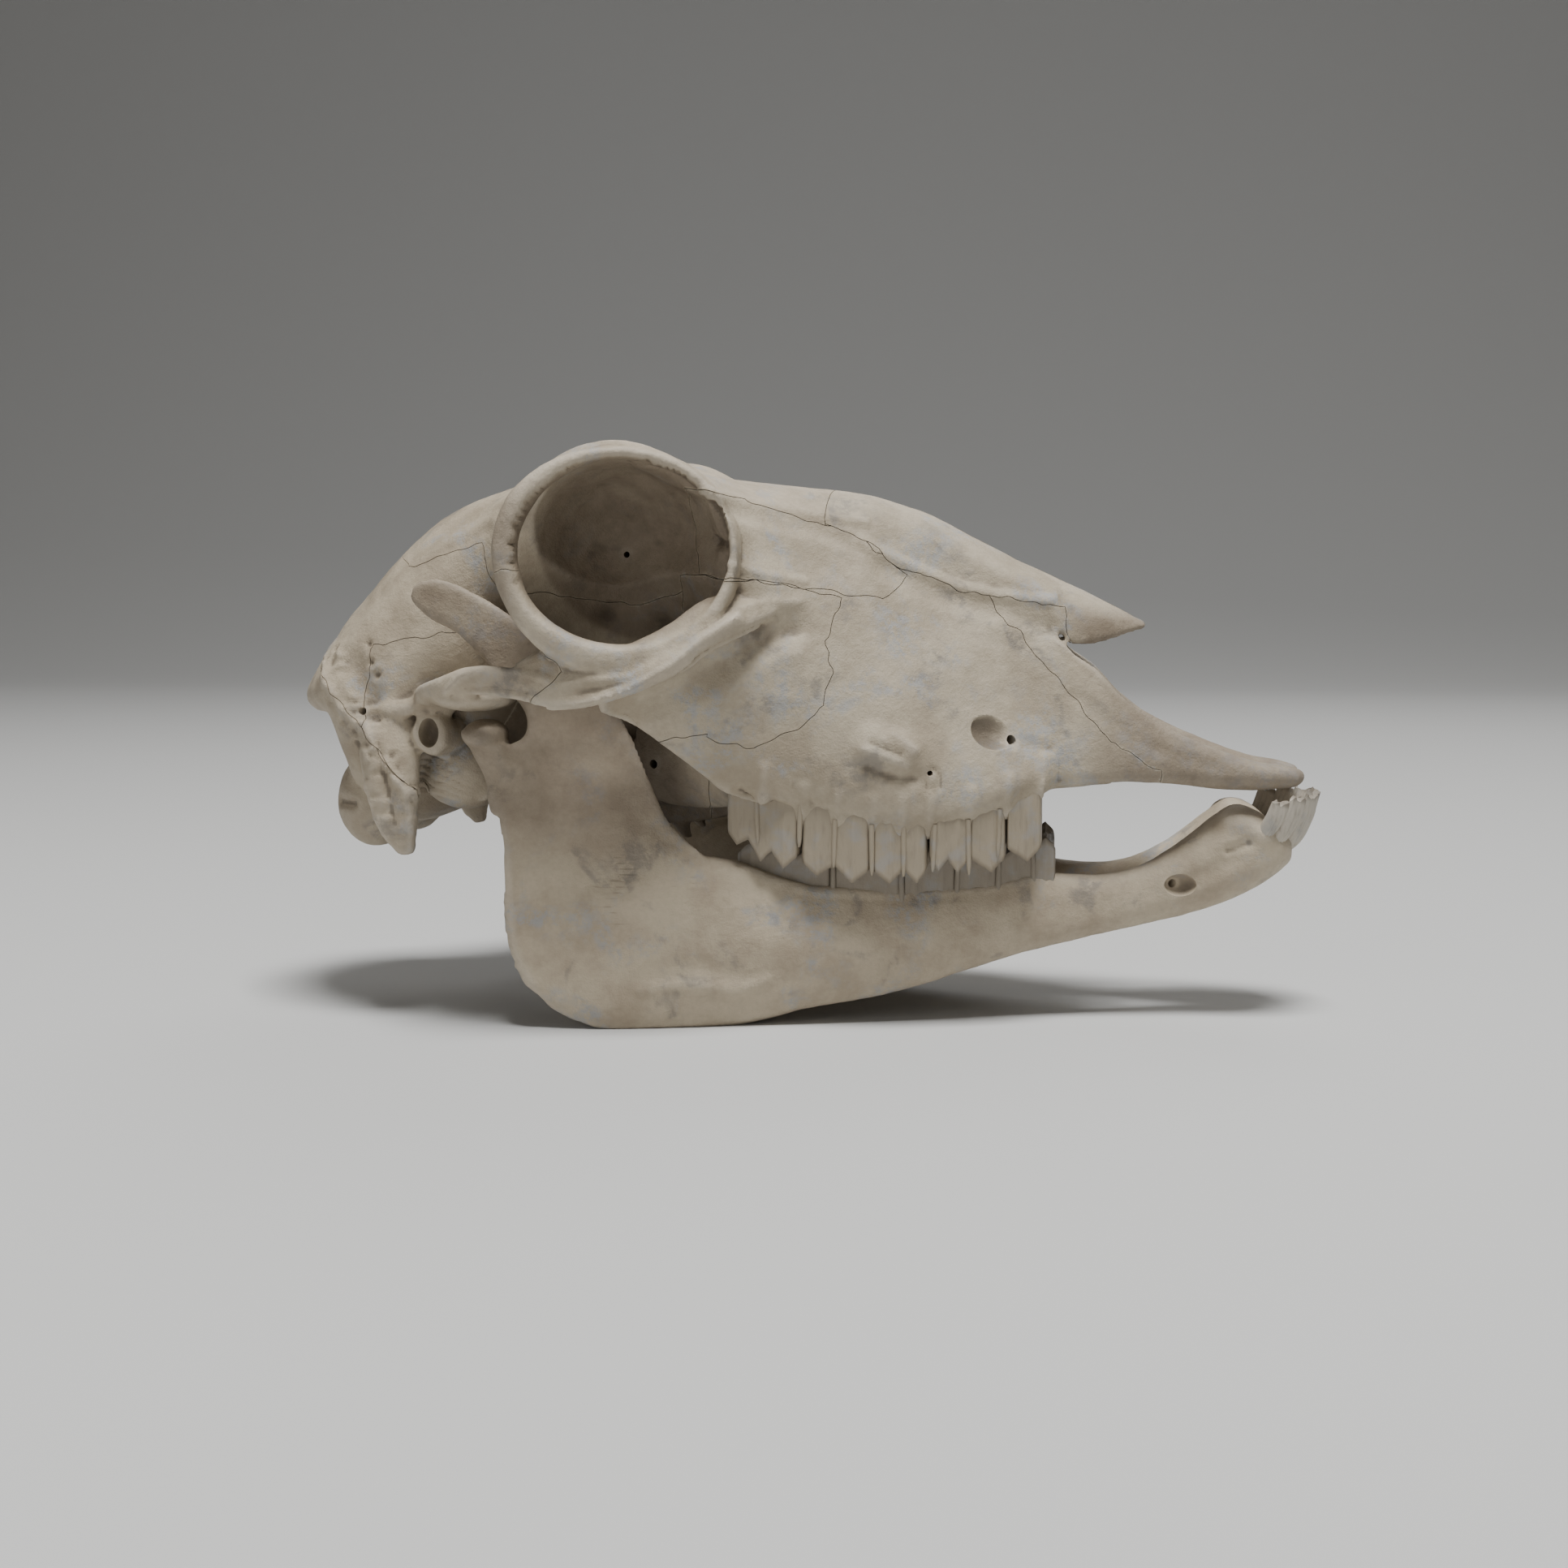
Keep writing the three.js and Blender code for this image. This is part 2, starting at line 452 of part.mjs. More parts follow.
function nasalRoof() {
  const steps = 5;
  const rings = NASAL_ROOF.map(([x, crown, edgeY, edgeZ, thick]) => {
    const arc = (inset) =>
      Array.from({ length: 2 * steps + 1 }, (_, i) => {
        const angle = (Math.PI / 2) * (i / steps - 1);
        const drop = crown - edgeZ - inset * 0.6;
        const y = (edgeY - inset * 0.8) * Math.sin(angle);
        return new THREE.Vector3(x, y, edgeZ - inset * 0.2 + drop * Math.cos(angle) ** 0.8);
      });
    return [...arc(0), ...arc(thick).reverse()];
  });
  return skin(rings);
}

// The orbit's rim, a closed ring whose section and depth change round the eye
function orbitRim() {
  const { x, z, halfX, halfZ, y, turn, topIn } = ORBIT;
  const surface = (u, v, target) => {
    const round = 2 * Math.PI * u;
    const across = 2 * Math.PI * v;
    const back = (1 - Math.cos(round)) / 2;
    const low = Math.max(0, -Math.sin(round)) ** 2;
    const high = Math.max(0, Math.sin(round)) ** 2;
    const thick =
      THREE.MathUtils.lerp(RIM_FRONT.thick, RIM_BACK.thick, back) + RIM_LOW * low + RIM_HIGH * high;
    const deep = THREE.MathUtils.lerp(RIM_FRONT.deep, RIM_BACK.deep, back);
    const out = thick * (1 + Math.cos(across));
    target.set(
      x + (halfX + out) * Math.cos(round),
      y - turn * Math.cos(round) - topIn * Math.sin(round) + deep * Math.sin(across),
      z + (halfZ + out) * Math.sin(round),
    );
  };
  return solid(new ParametricGeometry(surface, 18, 6));
}

function orbitCup() {
  const { x, z, halfX, halfZ, y, depth } = ORBIT;
  const geometry = new THREE.SphereGeometry(1, 14, 9);
  geometry.scale(halfX, depth, halfZ);
  geometry.rotateZ(THREE.MathUtils.degToRad(-ORBIT_TURN));
  geometry.translate(x, y + 2, z);
  return solid(geometry);
}

// One cheek tooth as a side outline with its cusps, moved out to the row's curve
function crown(outline, rowY, outer, inner) {
  const shape = new THREE.Shape(outline.map(([x, z]) => new THREE.Vector2(x, z)));
  const geometry = new THREE.ExtrudeGeometry(shape, { depth: outer - inner, bevelEnabled: false });
  geometry.rotateX(Math.PI / 2);
  geometry.translate(0, outer, 0);
  const place = geometry.attributes.position;
  for (let i = 0; i < place.count; i++) place.setY(i, place.getY(i) + readOff(rowY, place.getX(i)));
  return solid(geometry);
}

// The biting edge from back to front: a valley before, between and behind the cusps
function cuspLine(front, back, cusps, valley) {
  const last = cusps.length - 1;
  const line = [[back, cusps[0][1] + valley]];
  cusps.forEach(([x, z], i) => {
    line.push([x, z]);
    if (i < last) line.push([(x + cusps[i + 1][0]) / 2, (z + cusps[i + 1][1]) / 2 + valley]);
  });
  return [...line, [front, cusps[last][1] + valley]];
}

function upperTeeth() {
  const { wall, width, floor, root, valley, rib } = UPPER_TOOTH;
  const pieces = [];
  for (const [front, back, gum, cusps] of UPPER_TEETH) {
    const line = cuspLine(front, back, cusps, valley);
    pieces.push(crown([[back, gum + root], ...line, [front, gum + root]], UPPER_ROW_Y, 0, -wall));
    const inner = [[back, gum + root], [back, floor], [front, floor], [front, gum + root]];
    pieces.push(crown(inner, UPPER_ROW_Y, -wall / 2, -width));
    for (const x of [back + rib, front - rib]) {
      const y = readOff(UPPER_ROW_Y, x) + rib * 0.2;
      pieces.push(rod(rib, [x, y, gum + root / 2], [x, y, cusps[0][1] + 2 * valley], 4));
    }
  }
  return joined(pieces);
}

function lowerTeeth() {
  const { width, root, valley } = LOWER_TOOTH;
  const pieces = LOWER_TEETH.map(([front, back, gum, cusps]) => {
    const line = cuspLine(front, back, cusps, -valley);
    return crown([[front, gum - root], [back, gum - root], ...line], LOWER_ROW_Y, 0, -width);
  });
  return joined(pieces);
}

// A front tooth: a round root in the jaw and a spade-shaped crown that fans out
function incisor({ root, neck, tip, half, fan }) {
  const along = vector(tip).sub(vector(neck)).normalize();
  const turned = THREE.MathUtils.degToRad(fan);
  const wide = new THREE.Vector3(-Math.sin(turned), Math.cos(turned), 0);
  const thin = new THREE.Vector3().crossVectors(along, wide).normalize();
  const scaled = (axis, length) => axis.clone().multiplyScalar(length).toArray();
  const station = (place, a, b) => [place, scaled(wide, a), scaled(thin, b)];
  const middle = vector(neck).lerp(vector(tip), 0.6).toArray();
  return ovals(
    [
      station(root, half * 0.5, half * 0.5),
      station(neck, half * 0.66, half * 0.6),
      station(middle, half, half * 0.42),
      station(tip, half * 0.86, half * 0.16),
    ],
    4,
    6,
    1,
  );
}

function cranium() {
  const { x, z, y, radius, bore, inner } = EAR_TUBE;
  const left = joined([
    ovals(PREMAXILLA, 11, 8),
    ovals(PALATE_ROD, 3, 6),
    ovals(PALATE_FRONT, 2, 6),
    orbitRim(),
    ovals(CHEEK_RIDGE, 7, 8),
    ovals(CHEEK_WALL, 5, 8),
    ovals(TEMPLE_SHELF, 3, 6),
    ovals(TEMPORAL_ARCH, 7, 8),
    egg(JAW_SOCKET),
    egg(MAXILLA_TUBER),
    egg(CHEEK_BUMP),
    egg(OCCIPITAL_CONDYLE),
    ovals(PARACONDYLAR, 5, 8),
    egg(BULLA),
    ovals(MUSCULAR_PROCESS, 3, 6),
    rod(radius, [x + 2, inner, z - 1], [x, y, z]),
    ovals(PTERYGOID, 6, 8),
    ovals(HAMULUS, 3, 6),
    upperTeeth(),
  ]);
  const { radius: spine, z: spineZ, from, to, rise } = FORAMEN_MAGNUM;
  const hollows = joined([
    bothSides(orbitCup().subtract(egg(LACRIMAL_BULLA))),
    ovals(NASAL_CAVITY, 6, 14, 0.85),
    ovals(CHOANAE, 4, 10),
    rod(spine, [from, 0, spineZ - rise], [to, 0, spineZ + rise], 14),
    bothSides(egg(INFRAORBITAL, 8, 6)),
    bothSides(egg(SUPRAORBITAL, 8, 6)),
    bothSides(rod(bore, [x + 1, y - 8, z - 0.5], [x - 0.2, y + 4, z], 8)),
  ]);
  return cranialBody().subtract(hollows).add(nasalRoof()).add(egg(NAPE_KNOB))
    .add(bothSides(left).subtract(hollows));
}

function halfJaw() {
  const body = ovals(
    JAW_BODY.map(([x, low, high, y, half]) => [
      [x, y, (low + high) / 2],
      [0, 0, (high - low) / 2],
      [0, half, 0],
    ]),
    14,
    10,
    0.75,
  );
  const ramus = ovals(
    JAW_RAMUS.map(([z, back, front, y, half]) => [
      [(back + front) / 2, y - RAMUS_SLANT / 2, z],
      [(front - back) / 2, -RAMUS_SLANT, 0],
      [0, half, 0],
    ]),
    10,
    10,
    0.7,
  );
  const whole = joined([
    body,
    ramus,
    ovals(CORONOID, 9, 8),
    ovals(JAW_NECK, 4, 8),
    egg(JAW_CONDYLE),
    lowerTeeth(),
    ...INCISORS.map(incisor),
  ]);
  const keep = slab([[-FAR, 0], [FAR, 0], [FAR, FAR], [-FAR, FAR]], SUTURE_GAP / 2, FAR);
  return whole.subtract(egg(MENTAL_FORAMEN, 8, 6)).intersect(keep);
}

// An outline moved out by a distance, or in if it is negative
function grown(outline, by) {
  const turn = THREE.ShapeUtils.isClockWise(outline.map(([x, z]) => new THREE.Vector2(x, z))) ? -1 : 1;
  return outline.map((place, i) => {
    const [before, after] = [outline.at(i - 1), outline[(i + 1) % outline.length]];
    const a = new THREE.Vector2(place[0] - before[0], place[1] - before[1]).normalize();
    const b = new THREE.Vector2(after[0] - place[0], after[1] - place[1]).normalize();
    const normal = new THREE.Vector2(a.y + b.y, -a.x - b.x).multiplyScalar(turn / (1 + a.dot(b)));
    return [place[0] + normal.x * by, place[1] + normal.y * by];
  });
}

// The space of a bone on the left side, or on both where the zone has no start
function zoneSolid(zone, by) {
  return joined(
    zone.map(({ from, outline }) =>
      from === undefined
        ? slab(grown(outline, by), -FAR, FAR)
        : slab(grown(outline, by), from ? from - by : SUTURE_GAP / 2, FAR),
    ),
  );
}

function largest(shape) {
  return shape.decompose().reduce((best, one) => (one.volume() > best.volume() ? one : best));
}

// Cuts a whole into named bones along their zones, left and right; what is left is the last bone
function parted(whole, pairs, singles, lastName) {
  const bones = new Map();
  let rest = whole;
  for (const [name, zone] of pairs) {
    const inside = zoneSolid(zone, -SUTURE_GAP / 2);
    const opened = zone.map(({ from, outline }) => ({ from: from || -1, outline }));
    const outside = zoneSolid(opened, SUTURE_GAP / 2);
    bones.set(name + "_left", largest(rest.intersect(inside)));
    bones.set(name + "_right", largest(rest.intersect(mirrored(inside))));
    rest = rest.subtract(bothSides(outside));
  }
  for (const [name, zone] of singles) {
    bones.set(name, largest(rest.intersect(zoneSolid(zone, -SUTURE_GAP / 2))));
    rest = rest.subtract(zoneSolid(zone, SUTURE_GAP / 2));
  }
  bones.set(lastName, largest(rest));
  return bones;
}

function geometryOf(shape) {
  const { vertProperties, triVerts, numProp } = shape.getMesh();
  const places = new Float32Array((vertProperties.length / numProp) * 3);
  for (let i = 0; i * numProp < vertProperties.length; i++)
    places.set(vertProperties.subarray(i * numProp, i * numProp + 3), i * 3);
  const geometry = new THREE.BufferGeometry();
  geometry.setAttribute("position", new THREE.BufferAttribute(places, 3));
  geometry.setIndex(new THREE.BufferAttribute(triVerts, 1));
  geometry.computeVertexNormals();
  return geometry;
}

const bone = new THREE.MeshStandardMaterial({ color: 0xc9bda6, roughness: 0.62, metalness: 0 });
const jawBone = new THREE.MeshStandardMaterial({ color: 0xc4b79f, roughness: 0.6, metalness: 0 });

function skull() {
  const bones = parted(
    cranium(),
    [
      ["nasal", NASAL_ZONE],
      ["premaxilla", PREMAXILLA_ZONE],
      ["lacrimal", LACRIMAL_ZONE],
      ["zygomatic", ZYGOMATIC_ZONE],
      ["frontal", FRONTAL_ZONE],
      ["maxilla", MAXILLA_ZONE],
      ["temporal", TEMPORAL_ZONE],
    ],
    [
      ["occipital", OCCIPITAL_ZONE],
      ["parietal", PARIETAL_ZONE],
    ],
    "sphenoid",
  );
  const jaw = largest(halfJaw());
  bones.set("mandible_left", jaw);
  bones.set("mandible_right", mirrored(jaw));
  const group = new THREE.Group();
  for (const [name, shape] of bones) {
    const mesh = new THREE.Mesh(geometryOf(shape), name.startsWith("mandible") ? jawBone : bone);
    mesh.name = name;
    group.add(mesh);
  }
  const box = new THREE.Box3().setFromObject(group);
  group.position.set(-(box.min.x + box.max.x) / 2, 0, -box.min.z);
  return group;
}

export default skull();
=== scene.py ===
# %% [markdown]
# # A ewe's skull
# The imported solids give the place, the size and the names of the bones. This script grows the same bones
# with the detail of real, weathered bone, and stands them in a plain studio.
# All shapes are drawn in millimetres, as the bones were measured, and turned into metres at the very end.

# %% Load the frame
import itertools
import math

import bmesh
import bpy
import numpy as np
from mathutils import Matrix, Vector


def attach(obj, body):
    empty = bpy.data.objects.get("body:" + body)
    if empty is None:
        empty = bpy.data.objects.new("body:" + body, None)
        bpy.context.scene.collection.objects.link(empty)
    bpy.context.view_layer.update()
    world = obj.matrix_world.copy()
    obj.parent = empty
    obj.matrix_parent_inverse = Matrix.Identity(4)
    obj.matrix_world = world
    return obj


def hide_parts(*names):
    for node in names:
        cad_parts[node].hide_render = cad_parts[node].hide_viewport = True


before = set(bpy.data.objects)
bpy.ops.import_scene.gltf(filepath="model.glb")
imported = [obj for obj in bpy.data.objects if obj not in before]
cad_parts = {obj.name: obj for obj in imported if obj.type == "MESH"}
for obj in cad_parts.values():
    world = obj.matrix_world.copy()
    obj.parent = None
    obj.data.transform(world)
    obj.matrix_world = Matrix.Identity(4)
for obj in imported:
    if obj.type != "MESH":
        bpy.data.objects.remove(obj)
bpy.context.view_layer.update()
MM = 0.001
CENTRE_X = 4.737  # the drawing's x at the middle of the skull's length

# %% [markdown]
# ## Studio and camera
# The skull stands on a plain pale floor that curves up behind it. The camera looks at its right side from
# a little ahead of the cheek and a little above, through a 50 mm lens, as the photograph does.

# %% Camera
PHOTO_TURN = math.radians(6.5)  # the camera stands this far towards the nose
PHOTO_RISE = math.radians(5.5)
PHOTO_DISTANCE = 501.6
AIM = Vector((-CENTRE_X, 0, 50.25))

look_back = Vector((
    math.sin(PHOTO_TURN) * math.cos(PHOTO_RISE),
    -math.cos(PHOTO_TURN) * math.cos(PHOTO_RISE),
    math.sin(PHOTO_RISE),
))
camera_data = bpy.data.cameras.new("photo_camera")
camera_data.lens = 50
camera_data.sensor_width = 36
camera_data.clip_start = 0.01
camera = bpy.data.objects.new("photo_camera", camera_data)
camera.location = (AIM + look_back * PHOTO_DISTANCE) * MM
camera.rotation_euler = look_back.to_track_quat("Z", "Y").to_euler()
bpy.context.collection.objects.link(camera)
bpy.context.scene.camera = camera

# %% [markdown]
# ## Small tools
# Bones are long, bent and rounded, so most of them are skins stretched over a row of cross-sections.
# One helper runs a smooth line through a few measured places, and another wraps a grid over the rings.

# %% Smooth lines
def smooth_line(places, count, closed=False):
    """Catmull-Rom line through the places, sampled at count + 1 even steps, or count when it is closed."""
    p = np.asarray(places, float)
    n = len(p)
    if closed:
        t = np.arange(count) * n / count
        i = np.floor(t).astype(int)
        f = t - i
        before, here, after, later = (p[(i + k) % n] for k in (-1, 0, 1, 2))
    else:
        p = np.concatenate([2 * p[:1] - p[1:2], p, 2 * p[-1:] - p[-2:-1]])
        t = np.linspace(0, n - 1, count + 1)
        i = np.minimum(np.floor(t).astype(int), n - 2)
        f = t - i
        before, here, after, later = (p[i + k] for k in range(4))
    f = f.reshape((-1,) + (1,) * (p.ndim - 1))
    return 0.5 * (
        2 * here
        + (after - before) * f
        + (2 * before - 5 * here + 4 * after - later) * f**2
        + (3 * here - before - 3 * after + later) * f**3
    )


# %% Skins
def new_object(name, bm):
    mesh = bpy.data.meshes.new(name)
    bm.to_mesh(mesh)
    bm.free()
    made = bpy.data.objects.new(name, mesh)
    bpy.context.collection.objects.link(made)
    return made


def closed_up(bm):
    """Welds seams, closes open ends and turns every face outwards."""
    bmesh.ops.remove_doubles(bm, verts=bm.verts, dist=1e-4)
    bmesh.ops.holes_fill(bm, edges=[e for e in bm.edges if e.is_boundary], sides=0)
    bmesh.ops.recalc_face_normals(bm, faces=bm.faces)
    return bm


def skin(name, rings):
    """A closed skin over rings[row][side], each a place in millimetres."""
    rows, sides = rings.shape[:2]
    bm = bmesh.new()
    bmesh.ops.create_grid(bm, x_segments=sides, y_segments=rows - 1, size=1)
    wrapped = np.concatenate([rings, rings[:, :1]], axis=1).reshape(-1, 3)
    for vert, place in zip(bm.verts, wrapped):
        vert.co = place
    return new_object(name, closed_up(bm))


def squarer(wave, power):
    """A wave between -1 and 1 whose flanks a power below 1 makes steeper."""
    return np.sign(wave) * np.abs(wave) ** power


def bar(name, stations, rows=40, sides=24, squareness=0.8):
    """Ovals [centre, half axis, half axis] skinned into a bar, blade or hollow."""
    centre, u, v = np.moveaxis(smooth_line(stations, rows), 1, 0)
    turn = np.arange(sides) * 2 * math.pi / sides
    across, along = squarer(np.cos(turn), squareness), squarer(np.sin(turn), squareness)
    rings = centre[:, None] + across[None, :, None] * u[:, None] + along[None, :, None] * v[:, None]
    return skin(name, rings)


def egg(name, centre, radii, turn=0):
    bm = bmesh.new()
    bmesh.ops.create_icosphere(bm, subdivisions=4, radius=1)
    bmesh.ops.scale(bm, vec=radii, verts=bm.verts)
    bmesh.ops.rotate(bm, matrix=Matrix.Rotation(turn, 3, "Z"), verts=bm.verts)
    bmesh.ops.translate(bm, vec=centre, verts=bm.verts)
    return new_object(name, bm)


def rod(name, radius, start, end, sides=32):
    start, end = Vector(start), Vector(end)
    bm = bmesh.new()
    bmesh.ops.create_cone(bm, cap_ends=True, segments=sides, radius1=radius, radius2=radius,
                          depth=(end - start).length)
    spin = Vector((0, 0, 1)).rotation_difference(end - start).to_matrix()
    bmesh.ops.rotate(bm, matrix=spin, verts=bm.verts)
    bmesh.ops.translate(bm, vec=(start + end) / 2, verts=bm.verts)
    return new_object(name, bm)


def gathered(name, parts, far_side=False):
    """One object with the skins of all the parts, mirrored for the far side."""
    bm = bmesh.new()
    for part in parts:
        bm.from_mesh(part.data)
    if far_side:
        bmesh.ops.scale(bm, vec=(1, -1, 1), verts=bm.verts)
        bmesh.ops.reverse_faces(bm, faces=bm.faces)
    return new_object(name, bm)


def mirrored(obj):
    return gathered(obj.name + "_mirrored", [obj], far_side=True)


def both(obj):
    return [obj, mirrored(obj)]


# %% Joining and cutting
def applied(obj):
    """Replaces the object's mesh by what its modifiers make of it."""
    evaluated = obj.evaluated_get(bpy.context.evaluated_depsgraph_get())
    mesh = bpy.data.meshes.new_from_object(evaluated)
    obj.modifiers.clear()
    old, obj.data = obj.data, mesh
    bpy.data.meshes.remove(old)
    return obj


def dropped(*objs):
    for obj in objs:
        bpy.data.meshes.remove(obj.data)


def boolean(obj, tool, operation):
    step = obj.modifiers.new("cut", "BOOLEAN")
    step.operation = operation
    step.object = tool
    step.solver = "MANIFOLD"
    return applied(obj)


def fused(name, parts, voxel):
    """Melts overlapping closed skins into one even skin."""
    made = gathered(name, parts)
    dropped(*parts)
    melt = made.modifiers.new("melt", "REMESH")
    melt.mode = "VOXEL"
    melt.voxel_size = voxel
    return applied(made)


def relaxed(obj, times, factor=0.5):
    ease = obj.modifiers.new("ease", "SMOOTH")
    ease.factor = factor
    ease.iterations = times
    return applied(obj)


# %% [markdown]
# ## The cranium's measures
# Each row below is one slice through the skull: how far along it is, the crown's height, seven places down
# the left side to the palate, and the height under the midline. The other side mirrors it.

# %% Cranium sections
CRANIUM_SECTIONS = [
    [-110.5, 73, [(3, 73), (5, 72.6), (7, 71.6), (7.6, 70.4), (7, 69.2), (5, 68.4), (3, 68)], 68],
    [-107, 78.5, [(6, 78), (11, 76), (15, 73.6), (16.4, 71.4), (15, 69.2), (11, 67.6), (6, 67)], 66.8],
    [-101, 87, [(9, 85.8), (17, 81.4), (23.4, 76.4), (25, 72), (22.6, 68.4), (17, 65.8), (9, 64.4)], 64],
    [-94, 95.4, [(10, 94), (19.4, 88), (27, 79.6), (29.6, 70.5), (28.6, 61.5), (24, 53), (15, 45)], 43],
    [-85, 104.8, [(11, 103.6), (21, 97.5), (28.5, 87), (31, 75), (30.6, 63), (27, 53), (16, 44)], 41],
    [-75, 112.5, [(12, 111), (22.5, 104), (29.5, 93), (31, 80), (29, 67), (24, 56), (13, 47)], 44],
    [-64, 117, [(14, 115.5), (25, 109.5), (30, 99), (30, 86), (26, 72), (18, 60), (10, 51)], 49],
    [-53, 119.3, [(18, 118.6), (33, 116), (37, 109), (25, 93), (18, 78), (12, 64), (7, 53)], 52],
    [-44, 119.8, [(22, 120.2), (40, 121.6), (48.5, 119), (24, 98), (13, 80), (10, 66), (7, 54)], 53],
    [-33, 119.8, [(22, 120.8), (38, 124), (47, 124), (22, 99), (13, 80), (10, 66), (7, 54)], 53.5],
    [-22, 119.6, [(21, 120.2), (35, 122.6), (44.5, 122.4), (22, 98), (15, 80), (12, 66), (9, 54)], 54],
    [-12, 119.2, [(19, 119.4), (33, 117.8), (41, 115), (31, 92), (25, 78), (22, 66), (19, 54)], 54.5],
    [-4, 118.4, [(17, 117.8), (30, 112), (39, 102), (38, 87), (36, 73), (33, 59), (25, 53)], 54],
    [8, 117.3, [(15, 116), (25, 106.5), (31.5, 95), (35.5, 82), (36.5, 67), (35.2, 52), (27, 46)], 52],
    [20, 115.8, [(14, 114), (21, 104), (27.5, 91.5), (32.5, 78), (35.5, 63), (34.5, 47), (26, 41.5)], 50.5],
    [32, 112, [(13, 109.5), (17.5, 99), (23.5, 87), (29, 74.5), (33.4, 61), (33.4, 46), (24, 41)], 50],
    [44, 106, [(12.5, 103.2), (15.5, 95), (20, 84), (24.5, 72), (29, 60), (30.6, 48), (21.5, 43)], 50],
    [54, 101, [(12, 98), (14.5, 92.5), (17, 82), (20, 71), (24.6, 61), (27.2, 53), (20.5, 47.5)], 51],
    [62, 97.4, [(11.3, 94.5), (13.8, 91), (14.8, 81), (17.3, 70), (20, 61), (21.4, 54.5), (17.5, 52)], 53],
]

sections = []
for x, crown, side, base in CRANIUM_SECTIONS:
    left = [(x, y, z) for y, z in side]
    right = [(x, -y, z) for y, z in reversed(side)]
    sections.append([(x, 0, crown), *left, (x, 0, base), *right])
lengthwise = smooth_line(sections, 240)
slices = np.stack([smooth_line(ring, 200, closed=True) for ring in lengthwise])
cranium = skin("cranium", slices)
print("cranium blank", len(cranium.data.polygons), "faces")

# %% [markdown]
# ## Hollows
# The eye sockets, the nose, the passage behind the palate and the hole for the spinal cord are cut out of
# the blank, as a carver would drill them first.

# %% Hollows
ORBIT = {"x": -28, "z": 103, "half_x": 21.5, "half_z": 19, "y": 47.5, "turn": 6.5, "top_in": 1.6}
ORBIT_DEPTH = 33
ORBIT_TURN = math.radians(17)
NASAL_CAVITY = [
    [(13, 0, 82), (0, 4, 0), (0, 0, 7)],
    [(26, 0, 79), (0, 9.5, 0), (0, 0, 19)],
    [(42, 0, 76.5), (0, 12.6, 0), (0, 0, 22)],
    [(56, 0, 74.5), (0, 14.2, 0), (0, 0, 20.6)],
    [(62.5, 0, 73), (0, 14.6, 0), (0, 0, 18.8)],
    [(75, 0, 72), (0, 11.6, 0), (0, 0, 17.5)],
]
CHOANAE = [
    [(-46, 0, 49), (0, 8, 0), (0, 0, 7)],
    [(-20, 0, 50), (0, 9, 0), (0, 0, 9)],
    [(-4, 0, 50.5), (0, 10, 0), (0, 0, 7)],
    [(6, 0, 49), (0, 6, 0), (0, 0, 3)],
]
cup_centre = (ORBIT["x"], ORBIT["y"] + 2, ORBIT["z"])
cup_radii = (ORBIT["half_x"], ORBIT_DEPTH, ORBIT["half_z"])
cutters = both(egg("orbit_cup", cup_centre, cup_radii, turn=-ORBIT_TURN)) + [
    bar("nasal_cavity", NASAL_CAVITY, 40, 40, 0.85),
    bar("choanae", CHOANAE, 30, 32),
    rod("spinal_opening", 9.3, (-112, 0, 54), (-80, 0, 58), 48),
]
for tool in cutters:
    boolean(cranium, tool, "DIFFERENCE")
    dropped(tool)
print("cranium hollowed", len(cranium.data.polygons), "faces")

# %% [markdown]
# ## What stands out from the blank
# The nose roof, the long front bones, the ring round the eye, the cheek arch, the joint knobs at the back
# and the small spurs underneath are each made as a bar or an egg, and then melted into the blank.

# %% Nose roof and premaxillae
NASAL_ROOF = [  # x, crown, the edge's y and z, thickness
    [54, 101, 14, 92, 4],
    [60, 98.4, 14.2, 90.5, 3.6],
    [64, 96.6, 13.8, 84, 3.2],
    [68, 94.7, 12.4, 83.2, 2.9],
    [72, 92.6, 10.4, 84, 2.7],
    [76, 90.4, 8.2, 85, 2.5],
    [79, 88.8, 6.2, 86, 2.2],
    [81.5, 87.8, 3.6, 86.7, 1.8],
]


def nose_roof():
    rings = []
    sweep = np.linspace(-math.pi / 2, math.pi / 2, 41)
    for x, crown, edge_y, edge_z, thick in smooth_line(NASAL_ROOF, 60):
        def arc(inset):
            y = (edge_y - 0.8 * inset) * np.sin(sweep)
            z = edge_z - 0.2 * inset + (crown - edge_z - 0.6 * inset) * np.maximum(np.cos(sweep), 0) ** 0.8
            return np.stack([np.full_like(y, x), y, z], axis=1)

        rings.append(np.concatenate([arc(0), arc(thick)[::-1]]))
    return skin("nose_roof", np.array(rings))


PREMAXILLA = [
    [(53, 17.4, 70), (0, -2.6, 15.6), (0, 2, 0.3)],
    [(61.5, 16.8, 69.2), (0, -2.7, 15.6), (0, 2.2, 0.3)],
    [(66, 16.4, 67), (0, -2.5, 13.8), (0, 2.3, 0.3)],
    [(71, 15.7, 65.4), (0, -2.2, 12.2), (0, 2.4, 0.3)],
    [(76, 14.9, 62.6), (0, -1.8, 9.5), (0, 2.6, 0.3)],
    [(82, 13.9, 60), (0, -1.4, 7.2), (0, 3, 0.3)],
    [(89, 12.6, 57.9), (0, -0.8, 5.6), (0, 3.6, 0.3)],
    [(97, 11.2, 55.7), (0, -0.4, 4.5), (0, 4.6, 0.4)],
    [(105, 9.8, 54.3), (0, -0.2, 3.4), (0, 5.5, 0.4)],
    [(111, 8.3, 53.9), (0, 0, 2.7), (0, 5.2, 0.2)],
    [(114.5, 7.2, 53.7), (0, 0, 2), (0, 4.2, 0)],
    [(116.5, 6.4, 53.9), (0, 0, 0.9), (0, 2.2, 0)],
]
